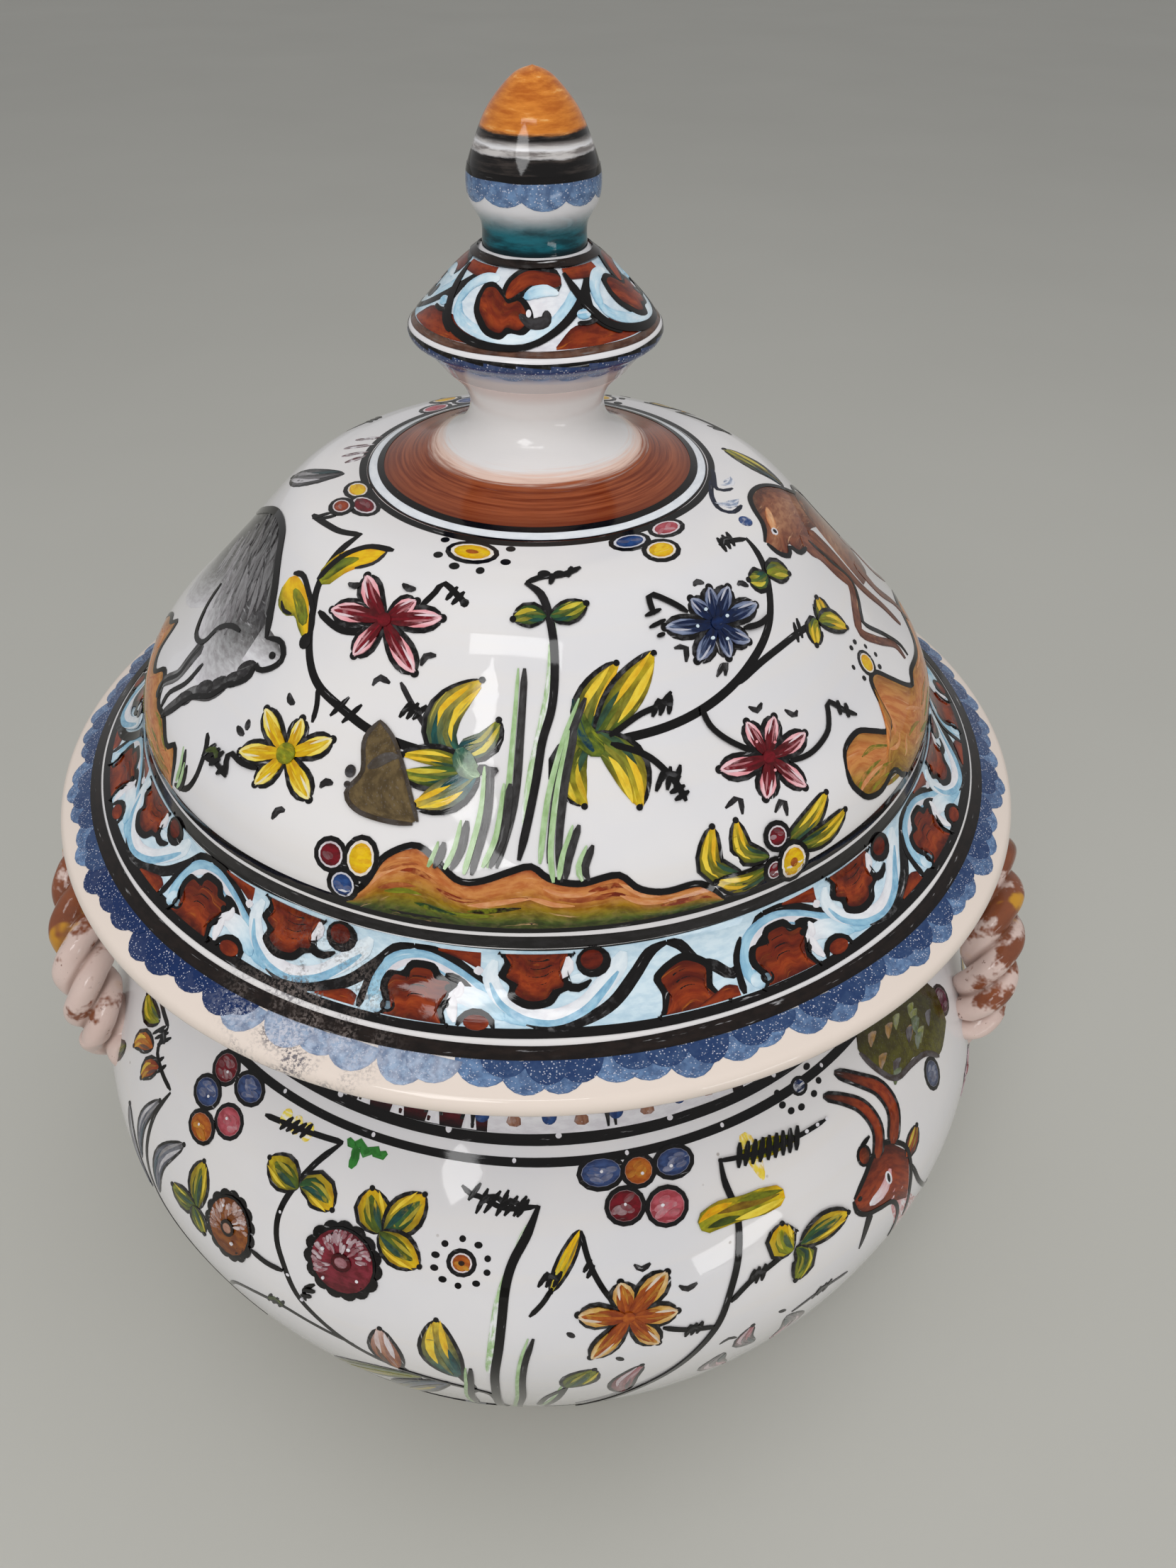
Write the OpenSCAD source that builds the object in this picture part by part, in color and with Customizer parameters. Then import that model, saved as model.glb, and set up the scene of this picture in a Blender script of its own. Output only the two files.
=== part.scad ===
/* [Lid] */
// Radius of the lid's sloping brim at its lip
brim_r = 120; // [116:1:124]
// Slope of the brim at its lip, in degrees; it steepens towards the dome
brim_slope = 26; // [22:1:30]
// Thickness of the brim at its lip
brim_wall = 5.5; // [4.5:0.5:6.5]
// Radius of the dome where it rises from the brim
dome_r = 95.6; // [94:0.2:97]
// Thickness of the dome's wall
dome_wall = 5.5; // [4:0.5:6.5]
// Height of the dome, from the mouth of the bowl to the foot of the finial
dome_h = 72.5; // [68:0.5:78]
// Depth of the locating ring that hangs into the bowl
ring_depth = 9; // [6:1:14]
// Thickness of the locating ring
ring_wall = 6; // [4:0.5:8]
// Play between the locating ring and the mouth, on the radius
ring_play = 1.5; // [0.8:0.1:2.5]

/* [Finial] */
// Height of the finial, from the dome to its tip
finial_h = 77; // [70:1:84]
// Largest radius of the finial's disc
disc_r = 26.5; // [24.5:0.5:28.5]
// Largest radius of the bud on top
bud_r = 13.2; // [11.5:0.1:15]
// Radius of the waist below the disc
waist_r = 14.5; // [12.5:0.1:16]

/* [Bowl] */
// Largest radius of the bowl
belly_r = 127.8; // [124:0.2:132]
// Height of the mouth above the table
mouth_z = 177; // [170:1:184]
// Inside radius of the mouth
mouth_r = 86; // [83:0.5:88]
// Thickness of the bowl's wall
bowl_wall = 6.5; // [5:0.5:8]

/* [Foot] */
// Radius of the foot ring where it stands
foot_r = 74; // [70:0.5:77]
// Height of the foot ring
foot_h = 9; // [7:0.5:11]
// Width of the face that the foot ring stands on
foot_w = 8; // [6:0.5:10]

/* [Handles] */
// Half the width of a handle's arch
arch_half_w = 40.5; // [38:0.5:44]
// Height of the arch above its springing
arch_rise = 29.5; // [26:0.5:33]
// Distance from the bowl's axis to the arch's springing
arch_x = 119; // [117.5:0.5:120]
// How far the arch leans outwards at its top
arch_lean = 6; // [5:0.5:8]
// Radius of one clay strand of the twist
strand_r = 4.4; // [4:0.1:4.8]
// Turns that the strands make over the whole arch
strand_turns = 3.2; // [2.6:0.1:4]

/* [Hidden] */

$fn = 180;
curve_steps = 5;
// The bowl's curve is widest, and then narrowest, at these of its points.
belly_at = 3 * curve_steps;
waist_at = 6 * curve_steps;

// The brim's lip is a half round, so its middle sits below the seat by this much.
lip_drop = 2.2;
lip_r = brim_wall / 2;
lip_c = [brim_r - lip_r, mouth_z - lip_drop];
dome_top_z = mouth_z + dome_h;
disc_z = dome_top_z + 0.3 * finial_h;
bud_z = dome_top_z + 0.6 * finial_h;
tip_z = dome_top_z + finial_h;
stem_foot_r = dome_r - 57.6;
ring_r = mouth_r - ring_play;
seat_out_r = 97;
lip_flat_r = mouth_r + 5;
arch_z = mouth_z - 68.5;
// The strands lie round the rope's middle at this distance.
strand_offset = 3.8;
strands = 3;
rope_sides = 24;
rope_rings = 66;
rope_overrun = 0.34;
// Below the springing each leg turns in towards the bowl on a parabola.
leg_bend = 120;
leg_drop = 46;
leg_lift = 30;

// One point between b and c on the smooth curve through a, b, c and d.
function between(a, b, c, d, t) =
    0.5 * (2 * b + (c - a) * t + (2 * a - 5 * b + 4 * c - d) * t * t
           + (3 * b - a - 3 * c + d) * t * t * t);

// A smooth curve through a short list of points.
function smooth(p) =
    let (last = len(p) - 1)
    concat([for (i = [0 : last - 1]) for (k = [0 : curve_steps - 1])
                between(p[max(i - 1, 0)], p[i], p[i + 1], p[min(i + 2, last)], k / curve_steps)],
           [p[last]]);

// The same curve moved to its left by w, which is the inside of a wall drawn upwards.
function inset(p, w) =
    [for (i = [0 : len(p) - 1])
        let (t = p[min(i + 1, len(p) - 1)] - p[max(i - 1, 0)])
        p[i] + w * [-t[1], t[0]] / norm(t)];

function reversed(p) = [for (i = [len(p) - 1 : -1 : 0]) p[i]];

// An arc of a circle about c, from angle a0 to a1.
function arc(c, r, a0, a1, n) =
    [for (k = [0 : n]) let (a = a0 + (a1 - a0) * k / n) c + r * [cos(a), sin(a)]];

// Outside of the bowl, from the edge of its flat base up to the mouth.
function bowl_curve() = smooth([
    [belly_r - 50, foot_h],
    [belly_r - 25.5, foot_h + 15],
    [belly_r - 10.3, foot_h + 37],
    [belly_r, foot_h + 78],
    [belly_r - 9.8, mouth_z - 62],
    [mouth_r + 10, mouth_z - 40],
    [mouth_r + 2.5, mouth_z - 23],
    [mouth_r + 7, mouth_z - 6]]);

// Top of the lid, from the brim's lip up over the dome to the foot of the finial.
function lid_curve() = smooth([
    lip_c + lip_r * [sin(brim_slope), cos(brim_slope)],
    [brim_r - 10.5, mouth_z + 4.3],
    [brim_r - 17.7, mouth_z + 9],
    [dome_r + 2, mouth_z + 14.5],
    [dome_r, mouth_z + 20.5],
    [dome_r - 0.6, mouth_z + 25],
    [dome_r - 4.4, mouth_z + 32],
    [dome_r - 12.6, mouth_z + 40],
    [dome_r - 24.6, dome_top_z - 20.5],
    [dome_r - 38.6, dome_top_z - 6.2],
    [dome_r - 48, dome_top_z - 1.6],
    [stem_foot_r, dome_top_z]]);

// Base and lower wall of the bowl, up to its widest line.
module bowl() {
    outside = bowl_curve();
    inside = inset(outside, bowl_wall);
    color([0.90, 0.88, 0.86])
    rotate_extrude()
    polygon(concat([[0, foot_h]],
                   [for (k = [0 : belly_at]) outside[k]],
                   [for (k = [belly_at : -1 : 0]) inside[k]],
                   [[0, foot_h + bowl_wall]]));
}

// Wall that closes in from the widest line to the waist of the neck.
module shoulder() {
    outside = bowl_curve();
    inside = inset(outside, bowl_wall);
    color([0.86, 0.84, 0.82])
    rotate_extrude()
    polygon(concat([for (k = [belly_at : waist_at]) outside[k]],
                   [for (k = [waist_at : -1 : belly_at]) inside[k]]));
}

// Flared neck with the flat lip that the lid rests on.
module neck() {
    outside = bowl_curve();
    inside = inset(outside, bowl_wall);
    color([0.84, 0.80, 0.78])
    rotate_extrude()
    polygon(concat([for (k = [waist_at : len(outside) - 1]) outside[k]],
                   arc([lip_flat_r, mouth_z - 2], 2, 20, 90, 4),
                   [[mouth_r + 1, mouth_z], [mouth_r, mouth_z - 1], [mouth_r, mouth_z - ring_depth - 4],
                    inside[waist_at]]));
}

// Solid of the bowl's outside, used to shape what is pressed onto it.
module bowl_outside() {
    rotate_extrude()
    polygon(concat([[0, foot_h]], bowl_curve(), [[0, mouth_z - 6]]));
}

// Ring that the bowl stands on, open in the middle.
module foot_ring() {
    color([0.88, 0.85, 0.82])
    rotate_extrude()
    polygon([[foot_r - foot_w, 0], [foot_r - 1, 0], [foot_r, 1], [foot_r - 1.5, foot_h / 2],
             [foot_r + 1, foot_h], [foot_r - foot_w - 3, foot_h], [foot_r - foot_w - 1.5, 1.5]]);
}

// Middle line of the twisted rope: an arch whose legs run on down into the bowl's belly.
function rope_middle(s) =
    let (a = 90 * max(-1, min(1, s)), over = max(0, abs(s) - 1))
    [arch_x + arch_lean * cos(a) - leg_bend * pow(over, 2),
     arch_half_w * sin(a),
     arch_z + arch_rise * cos(a) - leg_drop * over + leg_lift * pow(over, 2)];

// Distance from the rope's middle to its skin, at an angle from the nearest strand.
function rope_skin(a) =
    let (off = abs(((a + 180 / strands) % (360 / strands)) - 180 / strands))
    strand_offset * cos(off) + sqrt(pow(strand_r, 2) - pow(strand_offset * sin(off), 2));

// One ring of points round the rope's middle line.
function rope_ring(s) =
    let (here = rope_middle(s),
         along = rope_middle(s + 0.01) - rope_middle(s - 0.01),
         t = along / norm(along),
         n0 = [1, 0, 0] - t[0] * t,
         n = n0 / norm(n0),
         b = cross(t, n),
         turn = 180 * strand_turns * (s + 2))
    [for (k = [0 : rope_sides - 1])
        let (a = 360 * k / rope_sides)
        here + rope_skin(a + turn) * (cos(a) * n + sin(a) * b)];

// Rope of three clay strands, bent into an arch and pressed onto the bowl.
module rope_handle() {
    span = 1 + rope_overrun;
    points = [for (j = [0 : rope_rings]) each rope_ring(-span + 2 * span * j / rope_rings)];
    first = [for (k = [rope_sides - 1 : -1 : 0]) k];
    final = [for (k = [0 : rope_sides - 1]) rope_rings * rope_sides + k];
    skin = [for (j = [0 : rope_rings - 1]) for (k = [0 : rope_sides - 1])
                let (a = j * rope_sides + k, b = j * rope_sides + (k + 1) % rope_sides)
                each [[a, b, b + rope_sides], [a, b + rope_sides, a + rope_sides]]];
    difference() {
        polyhedron(points, concat([reversed(first)], [reversed(final)], [for (f = skin) reversed(f)]));
        bowl_outside();
    }
}

module right_handle() {
    color([0.86, 0.78, 0.72])
    rope_handle();
}

// The left handle is the right one turned half round, so its twist runs the same way.
module left_handle() {
    color([0.86, 0.78, 0.72])
    rotate([0, 0, 180])
    rope_handle();
}

// Thrown lid: sloping brim, flat seat and hollow dome in one wall.
module lid_dome() {
    outside = lid_curve();
    inside = inset(outside, dome_wall);
    under_z = lip_c[1] - lip_r * cos(brim_slope)
            + (lip_c[0] - lip_r * sin(brim_slope) - seat_out_r - 1) * tan(brim_slope);
    color([0.91, 0.89, 0.88])
    rotate_extrude()
    polygon(concat(arc(lip_c, lip_r, -90 - brim_slope, 90 - brim_slope, 8), outside,
                   [[0, dome_top_z], [0, dome_top_z - dome_wall]],
                   reversed([for (p = inside) if (p[1] > mouth_z + 16) p]),
                   [[ring_r - ring_wall, mouth_z + 6], [ring_r - ring_wall, mouth_z],
                    [seat_out_r, mouth_z], [seat_out_r + 1, under_z]]));
}

// Ring under the lid that drops into the mouth and keeps the lid in place.
module lid_ring() {
    color([0.86, 0.83, 0.80])
    rotate_extrude()
    polygon([[ring_r - ring_wall, mouth_z], [ring_r - ring_wall, mouth_z - ring_depth + 1],
             [ring_r - ring_wall + 1, mouth_z - ring_depth], [ring_r - 2, mouth_z - ring_depth],
             [ring_r, mouth_z - ring_depth + 2], [ring_r, mouth_z]]);
}

// Spreading foot and narrow waist of the finial.
module finial_stem() {
    h = disc_z - dome_top_z;
    color([0.62, 0.30, 0.16])
    rotate_extrude()
    polygon(concat([[0, dome_top_z]],
                   smooth([[stem_foot_r, dome_top_z],
                           [waist_r + 12, dome_top_z + 0.17 * h],
                           [waist_r + 2.8, dome_top_z + 0.39 * h],
                           [waist_r, dome_top_z + 0.61 * h],
                           [waist_r + 1.4, dome_top_z + 0.82 * h],
                           [waist_r + 5.4, disc_z]]),
                   [[0, disc_z]]));
}

// Turned disc that the fingers lift the lid by.
module finial_disc() {
    h = bud_z - disc_z;
    color([0.66, 0.72, 0.78])
    rotate_extrude()
    polygon(concat([[0, disc_z], [waist_r + 5.4, disc_z], [disc_r - 3, disc_z + 0.19 * h]],
                   arc([disc_r - 2, disc_z + 0.32 * h], 2, -40, 55, 5),
                   smooth([[disc_r - 3.6, disc_z + 0.52 * h],
                           [disc_r - 10.4, disc_z + 0.82 * h],
                           [bud_r - 2.6, bud_z]]),
                   [[0, bud_z]]));
}

// Egg-shaped bud on top.
module finial_bud() {
    h = tip_z - bud_z;
    color([0.85, 0.55, 0.18])
    rotate_extrude()
    polygon(concat([[0, bud_z]],
                   smooth([[bud_r - 2.6, bud_z],
                           [bud_r - 2.6, bud_z + 0.14 * h],
                           [bud_r - 0.4, bud_z + 0.28 * h],
                           [bud_r - 0.2, bud_z + 0.44 * h],
                           [bud_r - 2.4, bud_z + 0.64 * h],
                           [bud_r - 5, bud_z + 0.80 * h],
                           [bud_r - 9.5, bud_z + 0.95 * h],
                           [0, tip_z]])));
}

bowl();
shoulder();
neck();
foot_ring();
right_handle();
left_handle();
lid_dome();
lid_ring();
finial_stem();
finial_disc();
finial_bud();
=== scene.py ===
# %% [markdown]
# # A painted faience tureen
# The clay pot and its lid are already modelled in CAD as plain solids. These cells dress them: every glazed wall
# becomes one smooth spun surface, and the painter's brush strokes are laid on it one at a time, as thin enamel.

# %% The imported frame
import math
import random

import bmesh
import bpy
from mathutils import Matrix, Vector, noise


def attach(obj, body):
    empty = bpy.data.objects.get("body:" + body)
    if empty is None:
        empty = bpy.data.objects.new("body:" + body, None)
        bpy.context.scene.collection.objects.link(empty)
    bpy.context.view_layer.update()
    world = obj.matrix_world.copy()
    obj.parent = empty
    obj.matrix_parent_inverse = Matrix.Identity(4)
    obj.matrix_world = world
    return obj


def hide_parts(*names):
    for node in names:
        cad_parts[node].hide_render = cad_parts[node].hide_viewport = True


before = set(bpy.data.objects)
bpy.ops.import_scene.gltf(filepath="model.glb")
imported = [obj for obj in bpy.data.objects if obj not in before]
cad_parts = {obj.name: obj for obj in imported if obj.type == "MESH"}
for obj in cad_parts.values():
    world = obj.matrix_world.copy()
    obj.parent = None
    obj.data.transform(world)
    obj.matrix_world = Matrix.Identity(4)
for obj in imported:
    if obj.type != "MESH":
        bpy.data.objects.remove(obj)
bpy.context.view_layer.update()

MM = 0.001
dice = random.Random(7)

# %% [markdown]
# ## Camera
# The pot is seen from above the brim, so that the lid's painting shows. A camera is placed by its three axes,
# which are the columns of its matrix: right, up and back.

# %% Camera
EYE = Vector((0.0, -0.2510, 0.3608))
DOWN, TURN, ROLL = math.radians(39.195), math.radians(2.834), math.radians(-0.939)
ahead = Vector((math.sin(TURN) * math.cos(DOWN), math.cos(TURN) * math.cos(DOWN), -math.sin(DOWN)))
right = Vector((math.cos(TURN), -math.sin(TURN), 0.0))
below = ahead.cross(right)
right_rolled = right * math.cos(ROLL) + below * math.sin(ROLL)
below_rolled = below * math.cos(ROLL) - right * math.sin(ROLL)

lens = bpy.data.cameras.new("camera")
lens.lens = 27.03
lens.sensor_width = 36.0
lens.clip_start = 0.01
camera = bpy.data.objects.new("camera", lens)
bpy.context.scene.collection.objects.link(camera)
camera.matrix_world = Matrix.Translation(EYE) @ Matrix((right_rolled, -below_rolled, -ahead)).transposed().to_4x4()
bpy.context.scene.camera = camera
print("camera looks along", [round(v, 3) for v in ahead])

# %% [markdown]
# ## Nodes in few words
# A material is a graph of small nodes. This class keeps one material's graph and adds nodes to it, so that a
# finish reads like a recipe. A value given to a node is either a plain number or another node's output.

# %% Nodes in few words
def tone(red, green, blue):
    """A colour as the eye names it, 0 to 255, turned into the light that it stands for."""
    return tuple((c / 255 / 12.92 if c / 255 < 0.04045 else ((c / 255 + 0.055) / 1.055) ** 2.4)
                 for c in (red, green, blue)) + (1.0,)


class Finish:
    """One material and its graph."""

    def __init__(self, name, roughness=0.1):
        self.material = bpy.data.materials.new(name)
        self.material.use_nodes = True
        self.tree = self.material.node_tree
        self.shader = self.tree.nodes["Principled BSDF"]
        self.shader.inputs["Roughness"].default_value = roughness
        self.shader.inputs["IOR"].default_value = 1.5
        self.shader.inputs["Specular IOR Level"].default_value = 0.38

    def node(self, kind, values=(), out=0, **settings):
        made = self.tree.nodes.new("ShaderNode" + kind)
        for key, value in settings.items():
            setattr(made, key, value)
        for key, value in dict(values).items():
            self.put(made.inputs[key], value)
        return made.outputs[out]

    def put(self, socket, value):
        if isinstance(value, bpy.types.NodeSocket):
            self.tree.links.new(value, socket)
        else:
            socket.default_value = value

    def sum(self, operation, a, b=0.0, c=0.0):
        return self.node("Math", {0: a, 1: b, 2: c}, operation=operation)

    def mix(self, share, a, b, blend="MIX"):
        return self.node("Mix", {0: share, 6: a, 7: b}, 2, data_type="RGBA", blend_type=blend)

    def fade(self, value, low, high, to_low=0.0, to_high=1.0):
        return self.node("MapRange", {0: value, 1: low, 2: high, 3: to_low, 4: to_high},
                         interpolation_type="SMOOTHSTEP")

    def noise(self, place, scale, detail=3.0, roughness=0.55):
        return self.node("TexNoise", {"Vector": place, "Scale": scale, "Detail": detail, "Roughness": roughness})

    def stretch(self, place, scale):
        return self.node("Mapping", {"Vector": place, "Scale": scale})

    def darker(self, colour, by):
        """The colour multiplied down: a dark paint changes more than a pale one."""
        return self.mix(1.0, colour, self.mix(1.0, by, colour, "SCREEN"), "MULTIPLY")

    def bump(self, height, distance, strength=1.0):
        self.put(self.shader.inputs["Normal"],
                 self.node("Bump", {"Height": height, "Distance": distance, "Strength": strength}))

    def colour(self, value):
        self.put(self.shader.inputs["Base Color"], value)

    def where(self):
        """The place on the pot, its distance from the axis and its height."""
        place = self.node("TexCoord", out=3)
        apart = self.node("SeparateXYZ", {0: place})
        x, y, z = apart.node.outputs
        radius = self.sum("SQRT", self.sum("ADD", self.sum("MULTIPLY", x, x), self.sum("MULTIPLY", y, y)))
        return place, x, y, z, radius


print("black, white and a mid grey are", tone(0, 0, 0)[0], tone(255, 255, 255)[0], round(tone(128, 128, 128)[0], 3))

# %% [markdown]
# ## Walls of revolution
# Everything that a potter throws on the wheel is one outline turned round the axis. The outline is a smooth curve
# through a few knots, given as distance from the axis and height, in millimetres. The same curve later carries the
# paint: a place on it is an angle round the pot, with 0 at the front and + to the right, and a distance up the wall.

# %% Walls of revolution
def curve(knots, steps):
    """A smooth curve through the knots, passing each in turn."""
    points = []
    last = len(knots) - 1
    for i in range(last):
        a, b, c, d = (Vector(knots[max(0, min(last, i + k))]) for k in (-1, 0, 1, 2))
        for k in range(steps):
            t = k / steps
            points.append(0.5 * (2 * b + (c - a) * t + (2 * a - 5 * b + 4 * c - d) * t * t
                                 + (3 * b - a - 3 * c + d) * t ** 3))
    return points + [Vector(knots[-1])]


def arc(middle, radius, start, end, steps):
    angles = [math.radians(start + (end - start) * k / steps) for k in range(steps + 1)]
    return [Vector(middle) + radius * Vector((math.cos(a), math.sin(a))) for a in angles]


class Wall:
    """The outside of a thrown wall, which paint can be laid on."""

    def __init__(self, outline, grain=1.5):
        self.laid, self.grain = {}, grain
        self.points = outline
        self.up = [0.0]
        for a, b in zip(outline, outline[1:]):
            self.up.append(self.up[-1] + (b - a).length)

    def at(self, up):
        """Distance from the axis, height, and the outward direction, at a distance up the wall."""
        low, high = 0, len(self.up) - 1
        while high - low > 1:
            half = (low + high) // 2
            low, high = (half, high) if self.up[half] <= up else (low, half)
        along = self.points[high] - self.points[low]
        share = (up - self.up[low]) / (self.up[high] - self.up[low])
        spot = self.points[low] + along * share
        along.normalize()
        return spot.x, spot.y, along.y, -along.x

    def place(self, turn, up, lift):
        """A point in the pot's own frame, lifted off the wall."""
        r, z, out, rise = self.at(up)
        r, z, a = r + out * lift, z + rise * lift, math.radians(turn)
        return Vector((r * math.sin(a), -r * math.cos(a), z)) * MM


LIP = Vector((117.25, 174.8))
lid_top = curve([(118.46, 177.27), (109.5, 181.3), (102.3, 186), (97.6, 191.5), (95.6, 197.5), (95, 202),
                 (91.2, 209), (83, 217), (71, 229), (57, 243.3), (47.6, 247.9), (38, 249.5)], 12)
bowl_out = curve([(77.8, 9), (102.3, 24), (117.5, 46), (127.8, 87), (118, 115), (96, 137), (88.5, 154), (93, 171)], 16)
stem_out = curve([(38, 249.5), (26.5, 253.4), (17.3, 258.5), (14.5, 263.6), (15.9, 268.4), (19.9, 272.6)], 10)
disc_out = ([Vector((19.9, 272.6)), Vector((23.5, 277))] + arc((24.5, 280), 2, -40, 55, 8)
            + curve([(22.9, 284.6), (16.1, 291.5), (10.6, 295.7)], 10))
bud_out = curve([(10.6, 295.7), (10.6, 300), (12.8, 304.3), (13, 309.3), (10.8, 315.4), (8.2, 320.3), (3.7, 325),
                 (0, 326.5)], 12)
lid_wall = Wall(arc(LIP, 2.75, -116, 64, 24)[:-1] + lid_top, 1.35)
bowl_wall = Wall(bowl_out)
stem_wall, disc_wall, bud_wall = (Wall(outline, 0.6) for outline in (stem_out, disc_out, bud_out))
print("mm up the lid", round(lid_wall.up[-1]), "and up the bowl", round(bowl_wall.up[-1]))

# %% [markdown]
# ## Throwing
# The outline is closed inside the clay, laid down as a chain of edges, and spun a full turn. The spin merges its
# last column with its first, the doubles on the axis are merged, and the faces are turned outwards.

# %% Throwing
def inset(points, depth):
    """The outline moved into the clay, which is the inside of a wall."""
    moved = []
    for i, spot in enumerate(points):
        along = (points[min(i + 1, len(points) - 1)] - points[max(i - 1, 0)]).normalized()
        moved.append(spot + depth * Vector((-along.y, along.x)))
    return moved


def throw(name, outline, finish, body, nodes, columns=288):
    """Spins a closed outline into a piece that stands for CAD nodes."""
    bm = bmesh.new()
    chain = [bm.verts.new((r * MM, 0.0, z * MM)) for r, z in outline]
    ends = list(zip(chain, chain[1:]))
    if outline[0][0] > 0:
        ends.append((chain[-1], chain[0]))
    edges = [bm.edges.new(pair) for pair in ends]
    bmesh.ops.spin(bm, geom=chain + edges, cent=(0, 0, 0), axis=(0, 0, 1), angle=math.tau, steps=columns,
                   use_merge=True)
    bmesh.ops.remove_doubles(bm, verts=bm.verts, dist=1e-7)
    bmesh.ops.recalc_face_normals(bm, faces=bm.faces)
    return shelve(name, bm, finish, body, nodes)


def shelve(name, bm, finish, body, nodes=()):
    """Turns a finished bmesh into an object, parents it to its body's empty and hides the CAD nodes that it stands for.
    """
    mesh = bpy.data.meshes.new(name)
    bm.to_mesh(mesh)
    bm.free()
    mesh.materials.append(finish.material)
    mesh.shade_smooth()
    piece = bpy.data.objects.new(name, mesh)
    bpy.context.scene.collection.objects.link(piece)
    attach(piece, body)
    if nodes:
        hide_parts(*nodes)
    return piece

# %% [markdown]
# ## White tin glaze
# Tin glaze is white but never even: it clouds, it pools a little blue, it thins to cream where the clay has an
# edge, and a few iron specks and pinholes show. It is glass, so it is glossy, with a slow ripple left by throwing.

# %% White tin glaze
def tin_glaze(name):
    made = Finish(name, 0.07)
    place, _, _, z, radius = made.where()
    clouds = made.fade(made.noise(place, 14, 4), 0.35, 0.72)
    white = made.mix(clouds, tone(229, 226, 225), tone(219, 218, 221))
    rings = made.noise(made.stretch(place, (6, 6, 260)), 1.0, 2)
    white = made.mix(made.fade(rings, 0.45, 0.8, 0, 0.35), white, tone(228, 222, 216))
    specks = made.node("TexVoronoi", {"Vector": place, "Scale": 210.0})
    sparse = made.fade(made.noise(place, 45, 1), 0.62, 0.66)
    dots = made.sum("MULTIPLY", made.fade(specks, 0.05, 0.11, 1, 0), sparse)
    made.colour(made.mix(made.sum("MULTIPLY", dots, 0.55), white, tone(110, 88, 66)))
    ripple = made.sum("ADD", made.noise(place, 30, 2), made.sum("MULTIPLY", rings, 0.6))
    made.bump(ripple, 0.00012, 0.35)
    made.put(made.shader.inputs["Roughness"], made.fade(made.noise(place, 70, 3), 0.3, 0.8, 0.025, 0.07))
    return made, white, place, z, radius


white_glaze = tin_glaze("white tin glaze")[0]
print("white glaze has", len(white_glaze.tree.nodes), "nodes")

# %% [markdown]
# ## Lid glaze
# The lid's brim ends in a bare, cream lip, and a dry brush has left a grey smudge across its front left.

# %% Lid glaze
def worn(made, place, colour, dust):
    """The dry, dusty smudge on the front left of the brim, which runs over paint and glaze alike."""
    grain = made.fade(made.noise(place, 1500, 3, 0.7), 0.44, 0.60)
    patches = made.fade(made.noise(place, 150, 3), 0.40, 0.62)
    far = made.node("VectorMath", {0: place, 1: (-0.047, -0.101, 0.1795)}, 1, operation="DISTANCE")
    near = made.fade(far, 0.007, 0.024, 1.0, 0.0)
    return made.mix(made.sum("MULTIPLY", made.sum("MULTIPLY", grain, patches), near), colour, dust)


lid_glaze, lid_white, place, z, radius = tin_glaze("lid glaze")
wobble = lid_glaze.noise(place, 40, 3)
edge = lid_glaze.sum("ADD", radius, lid_glaze.sum("MULTIPLY", wobble, 0.004))
lip = lid_glaze.fade(edge, 0.1105, 0.1185)
under = lid_glaze.fade(z, 0.1772, 0.1762)
cream = lid_glaze.mix(lid_glaze.sum("MAXIMUM", lip, under), lid_white, tone(231, 217, 206))
lid_glaze.colour(worn(lid_glaze, place, cream, tone(112, 108, 114)))
print("lid glaze has", len(lid_glaze.tree.nodes), "nodes")

# %% [markdown]
# ## The thrown pieces
# The bowl's three CAD nodes are one wall in clay, so one spun piece stands for them. The lid's wall carries its
# flat seat underneath. Both are thrown in white glaze.

# %% The thrown pieces
bowl_in = inset(bowl_out, 6.5)
bowl_outline = ([(0, 9)] + bowl_out + arc((91, 175), 2, 20, 90, 6) + [(87, 177), (86, 176), (86, 164)]
                + [p for p in reversed(bowl_in) if p.y < 160] + [(0, 15.5)])
throw("bowl_glaze", bowl_outline, white_glaze, "pot", ("bowl", "shoulder", "neck"))

lid_in = [p for p in inset(lid_top, 5.5) if p.y > 193]
lid_outline = ([(0, 249.5)] + list(reversed(lid_wall.points)) + [(98, 176.2), (97, 177), (78.5, 177), (78.5, 183)]
               + lid_in + [(0, 244)])
throw("lid_glaze", lid_outline, lid_glaze, "lid", ("lid_dome",))

# %% [markdown]
# ## Foot ring and locating ring
# The foot is wiped clean of glaze so that it doesn't stick to the kiln shelf, and shows the clay. The ring under
# the lid has only a thin cream glaze. Both are turned sharp, then softened where hands and tables rub them.

# %% Foot ring and locating ring
clay = Finish("bare clay", 0.75)
place, _, _, z, _ = clay.where()
body_tone = clay.mix(clay.noise(place, 60, 5), tone(196, 150, 116), tone(168, 118, 86))
body_tone = clay.mix(clay.fade(clay.noise(clay.stretch(place, (30, 30, 900)), 1.0, 2), 0.4, 0.7, 0, 0.5),
                     body_tone, tone(150, 104, 78))
splash = clay.sum("ADD", z, clay.sum("MULTIPLY", clay.noise(place, 30, 3), 0.004))
clay.colour(clay.mix(clay.fade(splash, 0.0062, 0.0082), body_tone, tone(222, 212, 202)))
clay.put(clay.shader.inputs["Roughness"], clay.fade(splash, 0.0062, 0.0082, 0.8, 0.15))
clay.bump(clay.noise(place, 900, 4), 0.0002, 0.5)

thin_glaze = Finish("thin cream glaze", 0.2)
place = thin_glaze.where()[0]
thin_glaze.colour(thin_glaze.mix(thin_glaze.noise(place, 50, 4), tone(230, 218, 204), tone(206, 184, 162)))
thin_glaze.bump(thin_glaze.noise(thin_glaze.stretch(place, (20, 20, 700)), 1.0, 3), 0.0002, 0.5)

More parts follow.
